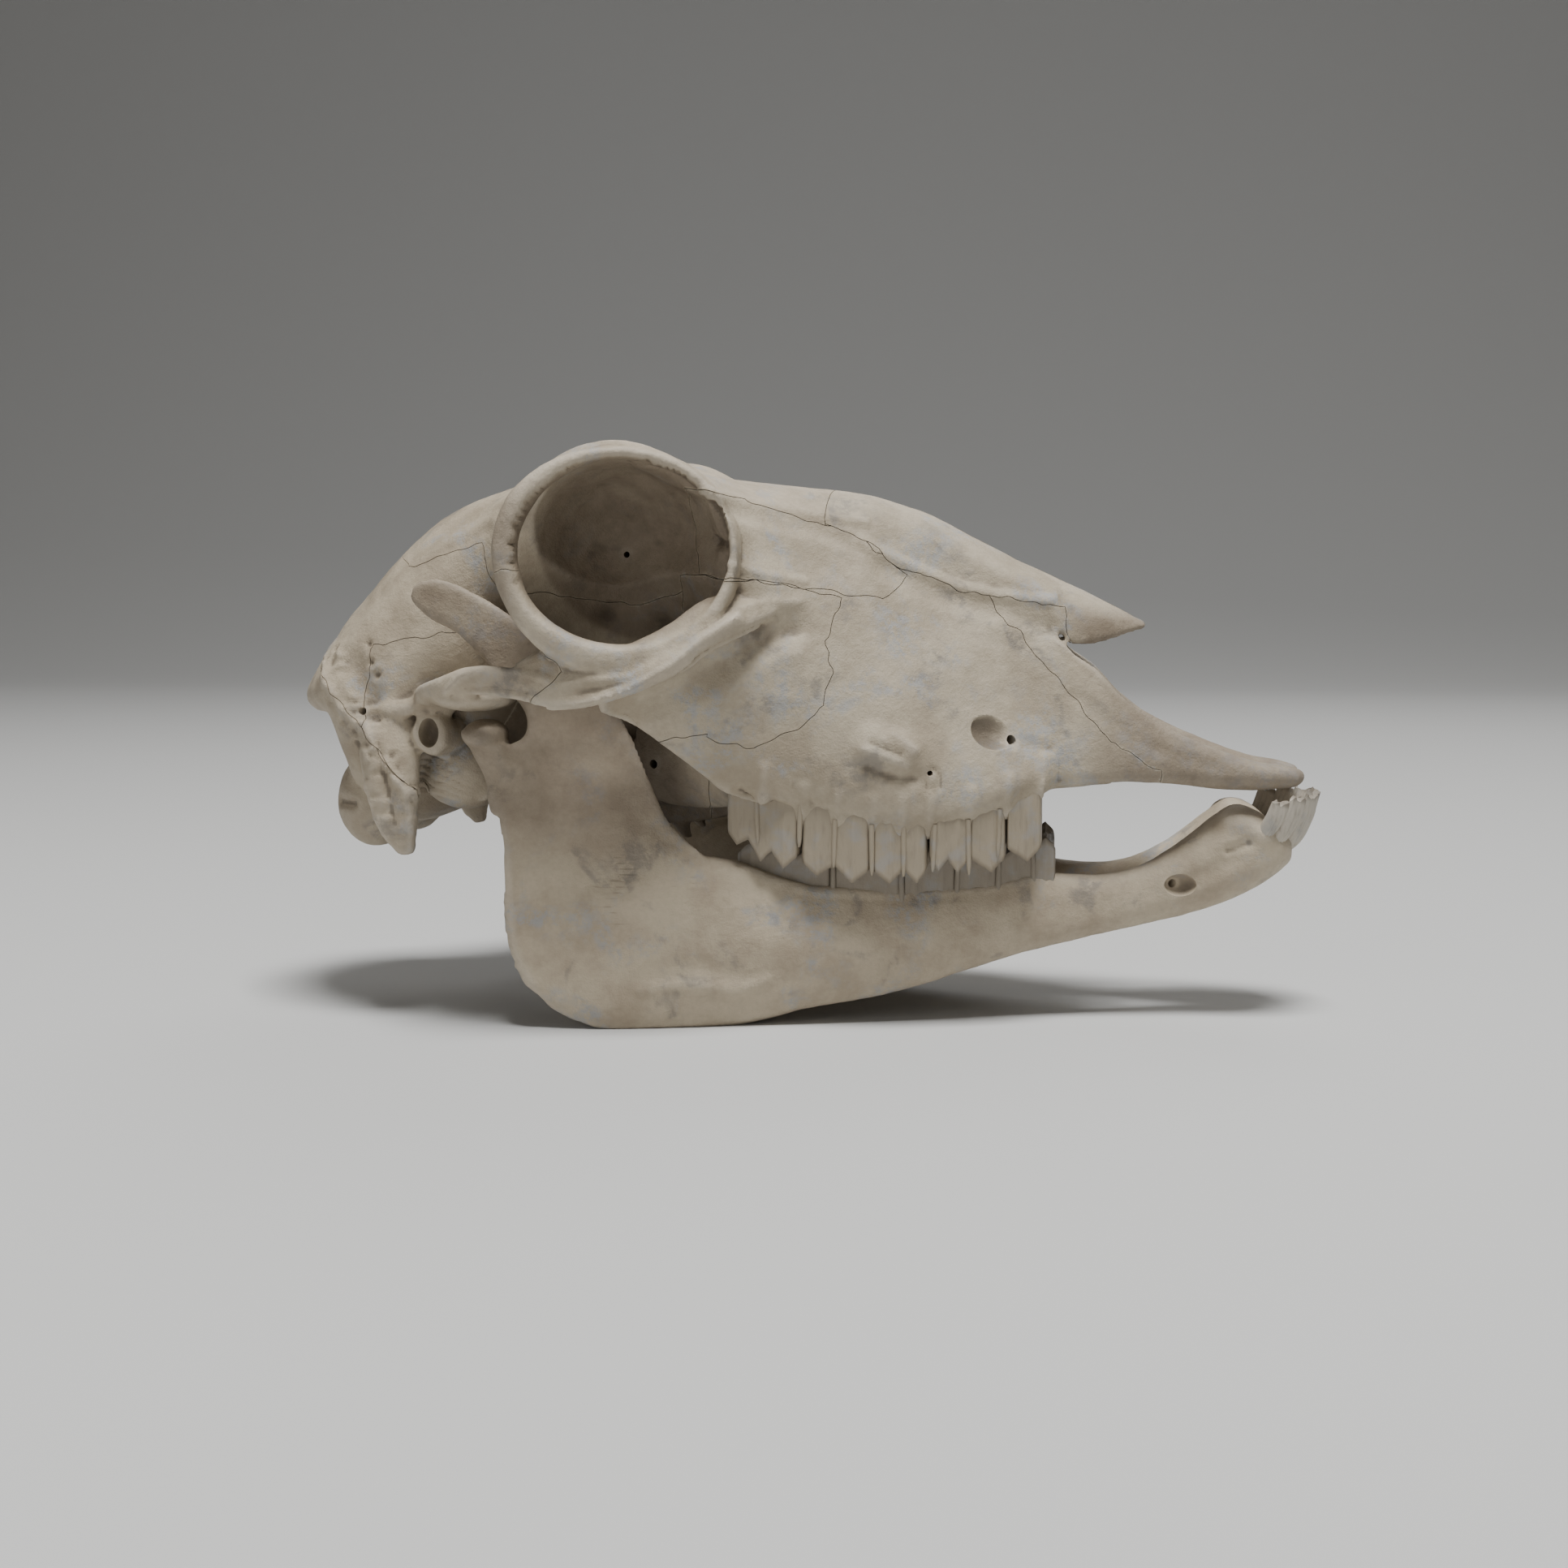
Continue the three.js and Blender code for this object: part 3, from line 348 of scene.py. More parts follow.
PALATE_ROD = [
    [(58, 4.2, 52.6), (0, 4, 0), (0, 0, 1.6)],
    [(72, 3.2, 53), (0, 2.6, 0), (0, 0, 1.4)],
    [(90, 2.3, 53.4), (0, 1.5, 0), (0, 0, 1.2)],
    [(104, 2, 53.2), (0, 1.2, 0), (0, 0, 1)],
]
PALATE_FRONT = [
    [(56, 11, 52.3), (0, 10, 0), (0, 0, 1.6)],
    [(66, 10, 52.9), (0, 9, 0), (0, 0, 1.4)],
    [(74, 9.4, 53.4), (0, 8, 0), (0, 0, 1.1)],
]
shell = [cranium, nose_roof()]
shell += both(bar("premaxilla", PREMAXILLA, 90, 32))
shell += both(bar("palate_rod", PALATE_ROD, 30, 16))
shell += both(bar("palate_front", PALATE_FRONT, 20, 24))

# %% Ring round the eye
RIM_FRONT = {"thick": 1, "deep": 4.6}
RIM_BACK = {"thick": 2.4, "deep": 4.8}
RIM_LOW = {"thick": 1.8, "deep": -1.4}  # what the lowest part adds
RIM_HIGH = -0.3  # and what the highest part adds to the thickness


def orbit_rim():
    """A closed ring whose section changes round the eye, from the side that faces the nose."""
    steps, sides = 180, 32
    rings = np.zeros((steps + 1, sides, 3))
    across = np.arange(sides) * 2 * math.pi / sides
    for row in range(steps + 1):
        round_ = 2 * math.pi * row / steps
        back = (1 - math.cos(round_)) / 2
        low = max(0, -math.sin(round_)) ** 2
        high = max(0, math.sin(round_)) ** 2
        thick, deep = (
            RIM_FRONT[measure] * (1 - back) + RIM_BACK[measure] * back + RIM_LOW[measure] * low
            for measure in ("thick", "deep")
        )
        thick += RIM_HIGH * high
        out = thick * (1 + squarer(np.cos(across), 0.6))
        rings[row, :, 0] = ORBIT["x"] + (ORBIT["half_x"] + out) * math.cos(round_)
        rings[row, :, 1] = (ORBIT["y"] - ORBIT["turn"] * math.cos(round_) - ORBIT["top_in"] * math.sin(round_)
                            + deep * np.sin(across))
        rings[row, :, 2] = ORBIT["z"] + (ORBIT["half_z"] + out) * math.sin(round_)
    return skin("orbit_rim", rings)


shell += both(orbit_rim())

# %% Cheek arch and the swellings of the face
CHEEK_RIDGE = [
    [(-44, 50.8, 75.2), (-0.8, 0.2, 4.4), (0, 2.2, 0)],
    [(-36, 50.2, 76), (0, -1.2, 5), (0, 2.2, 0.4)],
    [(-26, 49, 79), (-0.6, -2.4, 5.2), (0, 2.1, 0.8)],
    [(-17, 47, 83.2), (-1.6, -3, 4.8), (0, 2.1, 1)],
    [(-9, 43.4, 88.8), (-2, -3.4, 4.4), (0, 2.2, 1.2)],
    [(2, 34.6, 91.4), (-0.6, -1.6, 2.6), (0, 2, 0.8)],
]
CHEEK_PLATE = [
    [(-50, 50.4, 77), (-1, 0, 3), (0, 1.6, 0)],
    [(-44, 50.2, 77.6), (-1.4, 0, 4.8), (0, 2.2, 0)],
    [(-34, 50, 78), (0, -1, 5), (0, 2.6, 0.4)],
    [(-26, 49, 79), (0, -1.4, 4.6), (0, 2.6, 0.8)],
    [(-17, 46.8, 82.2), (-1, -1.8, 4), (0, 2.6, 1)],
    [(-10, 43, 87.6), (-1.8, -2, 3.2), (0, 2, 1.2)],
    [(-5, 40, 91.6), (-1, -1.2, 2), (0, 1.2, 0.8)],
]
PALATE_WALL = [
    [(-32, 12.6, 57), (0, 0, 7.6), (0, 2.2, 0)],
    [(-26, 15.6, 56.4), (0, 0.6, 9.2), (0, 2.6, 0)],
    [(-20, 19.6, 56.2), (0, 1.4, 9.6), (0, 3.2, 0)],
    [(-15, 22.4, 56.6), (0, 1.6, 9.8), (0, 3.2, 0)],
    [(-9, 26, 57), (0, 2, 9.6), (0, 3.2, 0)],
    [(-2, 28, 57), (0, 2, 8.6), (0, 3, 0)],
]
CHEEK_WALL = [
    [(-34, 45.6, 71.6), (0, 1.4, 2), (0, 1.6, -0.6)],
    [(-28, 43.4, 71), (0, 3.4, 4), (0, 2, -1)],
    [(-21, 40.6, 69.8), (0, 4.6, 8.4), (0, 2.4, -1)],
    [(-14, 38.2, 68.6), (0, 4.4, 13), (0, 2.6, -0.8)],
    [(-8, 36.4, 68.4), (0, 3.2, 17.4), (0, 2.8, -0.6)],
    [(0, 35.4, 68), (0, 1, 19), (0, 2.4, 0)],
    [(8, 34.4, 67.6), (0, 0.4, 18), (0, 1.6, 0)],
]
TEMPLE_SHELF = [
    [(-69, 34, 72.8), (0, 3.4, 0.4), (0, 0, 2)],
    [(-76, 31.4, 70.6), (0, 3.2, -0.4), (0, 0, 2)],
    [(-82, 30.4, 68.8), (0, 3, -0.4), (0, 0, 2.2)],
    [(-88, 28.6, 69.2), (0, 2.6, 0), (0, 0, 2.4)],
    [(-94, 26.4, 71.2), (0, 2.2, 0), (0, 0, 2.4)],
]
TEMPORAL_ARCH = [
    [(-74, 30, 70), (-5, 0, 0), (0, 0, 3.6)],
    [(-70, 37, 73), (-4.8, 2.2, 0), (0, 0.8, 2.6)],
    [(-65.5, 43.6, 75.2), (-2.6, 2.2, -1), (0.6, 1, 3)],
    [(-59.5, 48.6, 76), (-0.8, 2, 0), (0, 0.6, 3.1)],
    [(-52, 50.8, 75.5), (0, 1.8, 0), (0, 0.2, 3.1)],
    [(-45, 51.2, 74.2), (0, 1.6, 0), (0, 0, 2.8)],
    [(-38, 50.4, 74.2), (0, 1.4, 0), (0, 0, 1.6)],
]
SWELLINGS = {
    "jaw_socket": ((-63.6, 34, 71.8), (9.2, 13, 3.2)),
    "lacrimal_bulla": ((-15, 23, 82), (10, 10, 8)),
    "occipital_condyle": ((-92, 14.5, 47.2), (8.8, 9.4, 10.6)),
    "ear_bulla": ((-69.5, 20.5, 54.5), (9.6, 8, 8.6)),
}
shell += both(bar("cheek_ridge", CHEEK_RIDGE, 60, 28))
shell += both(bar("temporal_arch", TEMPORAL_ARCH, 60, 24, 0.7))
shell += both(bar("cheek_wall", CHEEK_WALL, 60, 32))
shell += both(bar("cheek_plate", CHEEK_PLATE, 60, 32))
shell += both(bar("palate_wall", PALATE_WALL, 50, 32))
shell += both(bar("temple_shelf", TEMPLE_SHELF, 50, 20))
for name, (centre, radii) in SWELLINGS.items():
    shell += both(egg(name, centre, radii))
shell += [egg("nape_knob", (-106.6, 0, 71.6), (4.8, 7.5, 5.6))]

# %% Spurs and plates under the skull
PARACONDYLAR = [
    [(-85, 28, 66), (7, 0, 1), (0, 5, 0)],
    [(-84, 31, 58), (7, 0, 1), (0, 3.6, 0)],
    [(-82.8, 32.4, 50), (5.6, 0, 0.8), (0, 2.6, 0)],
    [(-81.6, 32.4, 42), (3.8, 0, 0.8), (0, 2, 0)],
    [(-79.8, 31.8, 36.6), (1.6, 0, 0.2), (0, 1.1, 0)],
]
MUSCULAR_PROCESS = [
    [(-70, 24, 61), (4.4, 0, -3), (0, 2.4, 0)],
    [(-66.5, 25, 54), (3.6, 0, 1.6), (0, 1.6, 0)],
    [(-63, 25, 48.6), (2, 0, 0.8), (0, 0.9, 0)],
]
PTERYGOID = [
    [(-46, 9.4, 58), (0, 0, 4), (0, 1.6, 0)],
    [(-38, 10.4, 55), (0, 0, 7), (0, 1.8, 0)],
    [(-30, 11.4, 51.5), (0, 0, 9), (0, 1.9, 0)],
    [(-22, 12.2, 49.6), (0, 0, 7.4), (0, 2, 0)],
    [(-13, 14.4, 51), (0, 0, 7.4), (0, 2.6, 0)],
    [(-4, 18, 53), (0, 0, 6), (0, 3.6, 0)],
]
HAMULUS = [
    [(-22.5, 11.6, 45), (3, 0, 0), (0, 1.4, 0)],
    [(-22, 11, 41.5), (2, 0, 0), (0, 1.1, 0)],
    [(-20.5, 10.4, 38.6), (1, 0, 0), (0, 0.8, 0)],
]
EAR_TUBE = [
    [(-71.6, 24, 62.6), (5, 0, 0), (0, 0, 5.2)],
    [(-73, 29, 63.4), (4.4, 0, 0), (0, 0, 5)],
    [(-74, 32.6, 63.8), (4, 0, 0.8), (-0.8, 0, 4.9)],
    [(-74.2, 33.9, 63.9), (3.5, 0, 0.7), (-0.7, 0, 4.4)],
]
shell += both(bar("paracondylar", PARACONDYLAR, 40, 24))
shell += both(bar("muscular_process", MUSCULAR_PROCESS, 30, 20))
shell += both(bar("pterygoid", PTERYGOID, 50, 24))
shell += both(bar("hamulus", HAMULUS, 24, 16))
shell += both(bar("ear_tube", EAR_TUBE, 30, 32, 1))

# %% [markdown]
# ## Over the roots of the cheek teeth
# The cheek teeth stand in a curved row. The bone swells over their roots and ends in a thin edge round their
# necks, lowest in the middle of the row.

# %% Edge of the tooth sockets
# Each of these short tables holds (x, value): how far out the row of teeth stands, the height of the edge,
# and half the height of the wall over it.
UPPER_ROW_Y = [(-12, 31.6), (-4, 33.6), (8, 34.8), (22, 34.8), (34, 33), (43, 30.6), (51, 27.8), (60, 24.2)]
SOCKET_EDGE = [(-9.5, 55.6), (-7, 53.6), (-2, 49), (3.1, 45.2), (9, 43.2), (15.3, 42),
               (24, 41.4), (32.6, 41.4), (44.6, 43.2), (50, 45), (55, 47.6), (59.4, 50)]
SOCKET_RISE = [(-9.5, 3.4), (3, 5), (45, 6), (59.4, 2.6)]
SOCKET_INSET = 2.6
SOCKET_HALF = 2.2


def read_off(table, x):
    """A value read off a short table of (x, value) pairs."""
    xs, values = zip(*table)
    return np.interp(x, xs, values)


socket_wall = []
for x, edge in SOCKET_EDGE:
    rise = read_off(SOCKET_RISE, x)
    centre = (x, read_off(UPPER_ROW_Y, x) - SOCKET_INSET, edge + rise)
    socket_wall.append([centre, (0, 0.4, rise), (0, SOCKET_HALF, 0)])
shell += both(bar("socket_wall", socket_wall, 70, 24))

# %% [markdown]
# ## One cranium
# Real bones run into one another without a seam. A voxel remesh melts all the overlapping skins into one
# even skin, and a light smoothing takes off its steps.

# %% Melt the cranium together
VOXEL = 0.62  # the remesh's grid
cranium = fused("cranium", shell, VOXEL)
relaxed(cranium, 5)
print("cranium melted", len(cranium.data.polygons), "faces")

# %% [markdown]
# ## The lower jaw
# Each half is a tapering bar with a broad upright plate behind, a hooked blade for the chewing muscle and a
# cross-set knob for the joint.

# %% Lower jaw
JAW_BODY = [  # x, lower edge, upper edge, y, half the thickness
    [-46, 6, 30, 36.6, 2.6],
    [-38, 0.2, 33, 36.6, 3.5],
    [-28, -1, 36, 34.4, 4.3],
    [-17, -1, 37.6, 31.4, 5],
    [-8, -0.5, 36.4, 28.8, 5.4],
    [-1, 0.9, 33.6, 27.2, 5.6],
    [9, 3.4, 30.8, 25, 5.6],
    [27, 6.4, 30, 21.2, 5.5],
    [45, 11.6, 30.3, 17, 5],
    [57, 14.9, 32.6, 14, 4.6],
    [63, 16.5, 32.2, 12.6, 4.3],
    [72, 18.4, 31.8, 10.6, 4.3],
    [80, 20.2, 33.5, 8.8, 4.8],
    [88.5, 22, 38.2, 7.4, 5.8],
    [95.5, 24.2, 43.8, 6.8, 6.6],
    [101, 26.4, 47.6, 6.8, 7],
    [106, 29, 46.5, 6.6, 6.8],
    [110.5, 32, 43, 6, 6.2],
    [114, 35, 40.5, 5, 4.4],
]
JAW_RAMUS = [  # z, back edge, front edge, y, half the thickness
    [-0.6, -34, -16, 35.4, 1.6],
    [2.6, -43.6, -11, 36, 2.6],
    [6.4, -48.4, -9, 36.4, 3.2],
    [11, -53, -8, 36.6, 3.2],
    [18, -55.2, -8, 36.8, 3],
    [27, -56.4, -8, 36.8, 2.8],
    [36, -56.2, -12, 37, 2.7],
    [43.3, -56.6, -20.4, 37.2, 2.6],
    [49.4, -57.8, -23.9, 37.4, 2.6],
    [55, -59.6, -26, 37.6, 2.6],
    [59.5, -60, -28, 37.8, 2.4],
    [63, -52.4, -29.4, 37.8, 2.3],
    [67, -51, -31.4, 37.6, 2.2],
    [71, -51.4, -34.6, 37.4, 2],
]
RAMUS_SLANT = 3.2
CORONOID = [
    [(-41.8, 36, 62), (9.4, -2.4, 0.8), (0, 2.2, 0)],
    [(-41.8, 36, 67), (9, -2.2, 1.4), (0, 2.2, 0)],
    [(-44.4, 36.2, 72), (8.2, -1.6, 1.8), (0, 2, 0)],
    [(-50.4, 36.4, 78), (7, -0.8, 3), (0, 1.8, 0)],
    [(-57, 36.4, 84), (4.6, -0.3, 3.6), (0, 1.5, 0)],
    [(-64.2, 36.2, 89.6), (3, 0, 3.8), (0, 1.3, 0)],
    [(-71.2, 35.8, 92.9), (1.8, 0, 4.2), (0, 1.2, 0)],
    [(-75.6, 35.5, 94.2), (0.8, 0, 2.8), (0, 0.9, 0)],
    [(-77.4, 35.4, 94.4), (0.2, 0, 1), (0, 0.5, 0)],
]
JAW_NECK = [
    [(-53.6, 37.6, 47), (5.4, 0, 0), (0, 2.6, 0)],
    [(-56.4, 37.6, 55), (4.4, 0, 0.6), (0, 3.2, 0)],
    [(-59.4, 37.4, 61), (3.8, 0, 0.6), (0, 6, 0)],
    [(-60.6, 37.4, 64), (3.2, 0, 0.2), (0, 7.4, 0)],
]
body = [
    [(x, y, (low + high) / 2), (0, 0, (high - low) / 2), (0, half, 0)]
    for x, low, high, y, half in JAW_BODY
]
plate = [
    [((back + front) / 2, y - RAMUS_SLANT / 2, z), ((front - back) / 2, -RAMUS_SLANT, 0), (0, half, 0)]
    for z, back, front, y, half in JAW_RAMUS
]
jaw_left = fused("jaw_left", [
    bar("jaw_body", body, 160, 48, 0.75),
    bar("jaw_plate", plate, 80, 60, 0.8),
    bar("coronoid", CORONOID, 80, 32, 0.5),
    bar("jaw_neck", JAW_NECK, 30, 24),
    egg("jaw_condyle", (-60.6, 37.6, 64), (4.6, 9, 3.2)),
], VOXEL)
relaxed(jaw_left, 8)
jaw_right = mirrored(jaw_left)
jaw_right.name = "jaw_right"
print("jaw melted", len(jaw_left.data.polygons), "faces")

# %% [markdown]
# ## Carving
# The bones now have their masses. What makes them bone is finer: crests where muscles held, hollows between
# them, and a skin that is never quite even. All of it is drawn as strokes: a line in millimetres, how wide it
# is, and how far it lifts or sinks the skin. Arrays let one stroke move thousands of places at once.

# %% Even randomness
def lattice(cells, seed):
    """A repeatable value between -1 and 1 for each whole-number cell."""
    mixed = (cells @ np.array([374761393, 668265263, 1274126177]) + seed * 144665) & 0xFFFFFFFF
    mixed = ((mixed ^ (mixed >> 13)) * 1103515245) & 0xFFFFFFFF
    return ((mixed ^ (mixed >> 16)) & 0xFFFF) / 32767.5 - 1


def noise(places, size, seed=0):
    """Smooth bumps between -1 and 1, as wide as size."""
    scaled = places / size
    base = np.floor(scaled).astype(np.int64)
    part = scaled - base
    part = part * part * (3 - 2 * part)
    total = np.zeros(len(places))
    for corner in itertools.product((0, 1), repeat=places.shape[1]):
        weight = np.where(corner, part, 1 - part).prod(axis=1)
        cells = np.pad(base + np.array(corner), ((0, 0), (0, 3 - places.shape[1])))
        total += weight * lattice(cells, seed)
    return total


# %% Strokes
def gap_to(points, line):
    """How far each point is from a line of places."""
    nearest = np.full(len(points), np.inf)
    for a, b in zip(line, line[1:]):
        along = np.clip((points - a) @ (b - a) / ((b - a) @ (b - a)), 0, 1)
        nearest = np.minimum(nearest, np.linalg.norm(points - a - along[:, None] * (b - a), axis=1))
    return nearest


def numbers(collection, name):
    got = np.empty(len(collection) * 3, np.float32)
    collection.foreach_get(name, got)
    return got.reshape(-1, 3).astype(float)


def edge_ends(mesh):
    """The numbers of each edge's two places."""
    got = np.empty(len(mesh.edges) * 2, np.int32)
    mesh.edges.foreach_get("vertices", got)
    return got.reshape(-1, 2)


def set_mark(obj, name, values):
    """A mark for the paint: one value between -1 and 1 for each place of the skin."""
    layer = obj.data.attributes.new(name, "FLOAT", "POINT")
    layer.data.foreach_set("value", np.clip(values, -1, 1).astype(np.float32))


class Hide:
    """A bone's skin as arrays. Strokes add up in lift, along the skin's own direction, and in shift."""

    def __init__(self, obj):
        self.obj = obj
        self.place = numbers(obj.data.vertices, "co")
        self.normal = numbers(obj.data.vertex_normals, "vector")
        self.side = np.abs(self.place[:, 1])
        self.outward = self.normal[:, 1] * np.sign(self.place[:, 1])
        self.view = self.place[:, [0, 2]]
        self.lift = np.zeros(len(self.place))
        self.shift = np.zeros((len(self.place), 3))

    def near(self, line, width, reach=(0, 70), facing=0.1):
        """1 on the line and 0 past its width, where the skin faces sideways. Lines are (x, z) places."""
        line = np.array(line, float)
        if len(line) == 1:
            line = np.concatenate([line, line + 0.01])
        inside = np.all((self.view > line.min(0) - width) & (self.view < line.max(0) + width), axis=1)
        inside &= (self.side > reach[0]) & (self.side < reach[1]) & (self.outward > facing)
        chosen = np.flatnonzero(inside)
        fall = np.clip(1 - gap_to(self.view[chosen], line) / width, 0, 1)
        mask = np.zeros(len(self.place))
        mask[chosen] = fall * np.clip((self.outward[chosen] - facing) / 0.3, 0, 1)
        return mask

    def stroke(self, line, width, height, crisp=False, reach=(0, 70), facing=0.1):
        fall = self.near(line, width, reach, facing)
        self.lift += height * (fall**1.4 if crisp else fall * fall * (3 - 2 * fall))

    def carve(self):
        moved = self.place + self.normal * self.lift[:, None] + self.shift
        self.obj.data.vertices.foreach_set("co", moved.astype(np.float32).ravel())
        self.obj.data.update()
        print(self.obj.name, "carved by up to", round(float(np.abs(moved - self.place).max()), 2), "mm")


# %% [markdown]
# The strokes of the cranium, as (line of x and z, width, height, crisp or soft, how far from the mid-plane).
# The camera's side and the far side get the same strokes, but not the same roughness.

# %% Strokes of the face
FACE = {
    "cheek crest": ([(-40, 76), (-26, 77), (-17.7, 81.4), (-10.8, 86.4), (-5.7, 90.6), (0, 92.4), (7, 92.6)],
                    2.2, 0.6, True, (28, 60)),
    "hollow under the cheek crest": ([(-28, 69.6), (-18, 73.6), (-10, 78.6), (-2, 83.6), (6, 86.6)],
                                     5.5, -1.7, False, (26, 50)),
    "lower edge of the cheek bone": (
        [(-46, 70.8), (-36, 71.8), (-26, 74.8), (-17.4, 79.6), (-11, 84.8), (-5, 89)],
        1.8, 1.1, True, (38, 60)),
    "floor of the eye socket": ([(-38, 88)], 5, -1.6, False, (8, 44)),
    "front of the eye socket's floor": ([(-25, 86.5)], 5, -1.6, False, (8, 44)),
    "knob": ([(23, 62), (29.6, 60.6)], 6.4, 1.5, False, (28, 45)),
    "knob crest": ([(20.6, 61.4), (24, 59.9), (27.4, 58.6), (30, 57.6)], 1.5, 0.5, True, (28, 45)),
    "knob spur": ([(27, 64.4), (29.4, 63), (31.6, 61)], 1.8, 0.6, True, (28, 45)),
    "knob hollow": ([(22.6, 62.8), (25.6, 61.4), (28.6, 60.4)], 1.2, -0.4, False, (28, 45)),
    "hollow below the knob": ([(22, 57.4), (27, 55.4), (32, 54.6)], 2.8, -0.6, False, (28, 45)),
    "hollow before the knob": ([(36, 66), (42, 63)], 7, -0.6, False, (22, 45)),
    "arched hole": (
        [(34.3, 53), (34.4, 55.8), (35.8, 57), (37.2, 55.9), (37.5, 53.2)], 1, -0.35, False, (28, 40)),
    "channel from the nerve hole": ([(52, 63.6), (56, 61.6), (60, 60.8)], 2.6, -0.5, False, (14, 30)),
    "edge of the nose roof": ([(19, 105.2), (25.8, 101.8), (31.2, 99.4), (40, 95.8), (49, 93.8), (60, 92.6)],
                              2.2, 0.7, False, (8, 30)),
    "groove under the nose roof": (
        [(24, 99.4), (31, 96), (40, 92.2), (50, 89.8), (60, 87)], 3.4, -0.6, False, (8, 30)),
    "tear hollow": ([(-1, 103.4), (6, 102.6), (14, 100)], 7, -0.9, False, (18, 44)),
    "tear notch": ([(-11.4, 105.4), (-8.4, 104.6)], 2, -1.6, False, (34, 50)),
    "tear ridge": ([(-7, 100.6), (0, 98.4), (8, 97)], 1.6, 0.4, False, (26, 46)),
    "edge of the front bone": ([(62, 83.6), (70, 77.4), (76, 71.4), (82, 66.4), (90, 62.4), (100, 59)],
                               1.4, 0.3, True, (8, 24)),
    "groove of the front bone": ([(66, 72), (76, 64.6), (86, 59.6), (98, 56.4)], 2.6, -0.25, False, (8, 24)),
    "root window of the last tooth": ([(-5.6, 51.4), (-4, 50)], 3, -1.5, True, (30, 40)),
    "root window of the next tooth": ([(1.6, 48.6), (4, 47)], 2.9, -1.4, True, (30, 40)),
}

# %% Strokes of the brow and the brain case
BRAIN_CASE = {
    "brow ridge": (
        [(-25.7, 121.3), (-20.4, 118.6), (-13.4, 115.8), (-2.9, 113.3), (9.3, 111.4), (19.8, 109.6)],
        2, 0.6, False, (14, 46)),
    "brow groove": (
        [(-20, 115.6), (-12, 112.8), (-2, 110.2), (9, 108), (18, 104.6)], 2.4, -0.5, False, (14, 46)),
    "temple line": (
        [(-60.5, 110.3), (-66.9, 107.6), (-72.4, 105.3), (-80.7, 99.7), (-86.3, 92.5), (-92, 86.3),
         (-97, 80)],
        2.4, 0.5, False, (12, 40)),
    "temple hollow": ([(-62, 95), (-72, 92), (-80, 86)], 12, -0.8, False, (18, 40)),
    "notch behind the ring": ([(-57.3, 108.8), (-57.7, 106), (-56.5, 103)], 2.4, -1.2, False, (28, 60)),
    "nape crest": ([(-101.6, 79.4), (-99.6, 74.4), (-95.7, 69.6), (-90.2, 65)], 2.2, 0.9, True, (10, 36)),
    "nape hollow": ([(-93, 78), (-88, 71.5)], 5, -1, False, (18, 36)),
    "ear ridge": ([(-88.7, 65.1), (-85.1, 58.9), (-79.8, 51.4), (-76.4, 49.6)], 2, 1, True, (24, 40)),
    "hollow behind the ear ridge": ([(-91, 61), (-89.4, 54)], 2.6, -0.9, False, (20, 40)),
    "upper spur groove": ([(-85.4, 61), (-83.4, 52), (-82, 44)], 1.5, -0.6, False, (26, 40)),
    "front spur edge": ([(-79.4, 50), (-78.6, 43.6), (-78.8, 38)], 1.2, 0.5, True, (26, 40)),
    "arch edge": (
        [(-67, 73.4), (-62.7, 77), (-57.4, 78.9), (-50.4, 78.4), (-43.5, 76.6)], 1.5, 0.6, True, (38, 60)),
    "arch groove": ([(-62, 74), (-55, 74.8), (-48, 73.6)], 1.7, -0.5, False, (38, 60)),
    "condyle hollow": ([(-98.4, 47.2), (-94.8, 47)], 2, -0.9, False, (8, 30)),
    "first pit": ([(-89.3, 83.1)], 1.3, -1, True, (14, 40)),
    "second pit": ([(-88.4, 79.1)], 1.5, -1.1, True, (14, 40)),
    "third pit": ([(-86.6, 76.4)], 1.7, -1.2, True, (14, 40)),
}

# %% Carve the cranium
hide = Hide(cranium)
for strokes, facing in ((FACE, 0.05), (BRAIN_CASE, -0.3)):
    for line, width, height, crisp, reach in strokes.values():
        hide.stroke(line, width, height, crisp, reach, facing)

TOOTH_EDGES = [58.9, 51.3, 43.4, 34.7, 28.8, 22.7, 15, 7.3, -0.6]  # where pillars and roots show in the bone
for x in TOOTH_EDGES:
    edge = float(read_off(SOCKET_EDGE, x))
    hide.stroke([(x, edge - 1), (x + 0.6, edge + 9)], 2.4, 0.5, False, (20, 40), 0.2)

# the eye ring's lip is nibbled above, both behind and before, and the socket within is lumpy
around = np.stack([
    (hide.place[:, 0] - ORBIT["x"]) / ORBIT["half_x"],
    (hide.place[:, 2] - ORBIT["z"]) / ORBIT["half_z"],
])
radius = np.hypot(*around)
angle = np.degrees(np.arctan2(around[1], around[0])) % 360
ring_y = ORBIT["y"] - ORBIT["turn"] * around[0] - ORBIT["top_in"] * around[1]
nibbled = ((angle > 8) & (angle < 78)) | ((angle > 112) & (angle < 200))
lip = np.clip(1 - np.abs(radius - 1.01) / 0.07, 0, 1) * np.clip((hide.side - ring_y) / 2, 0, 1)
lip *= 0.12 + 0.88 * nibbled
arc = np.stack([angle * 0.37, np.zeros(len(angle))], axis=1)
scallop = np.sin(2 * math.pi * (arc[:, 0] + 2.2 * noise(arc, 5, 5)) / 2) * (0.6 + 0.4 * noise(arc, 3, 7))
bite = lip * np.clip(0.28 * scallop + 0.4 * noise(arc, 2.4, 6), -0.55, 0.55)
hide.shift[:, 0] -= bite * around[0] / np.maximum(radius, 0.1)
hide.shift[:, 2] -= bite * around[1] / np.maximum(radius, 0.1)
socket = np.clip((0.97 - radius) * 8, 0, 1) * np.clip((ring_y - 4 - hide.side) / 5, 0, 1)
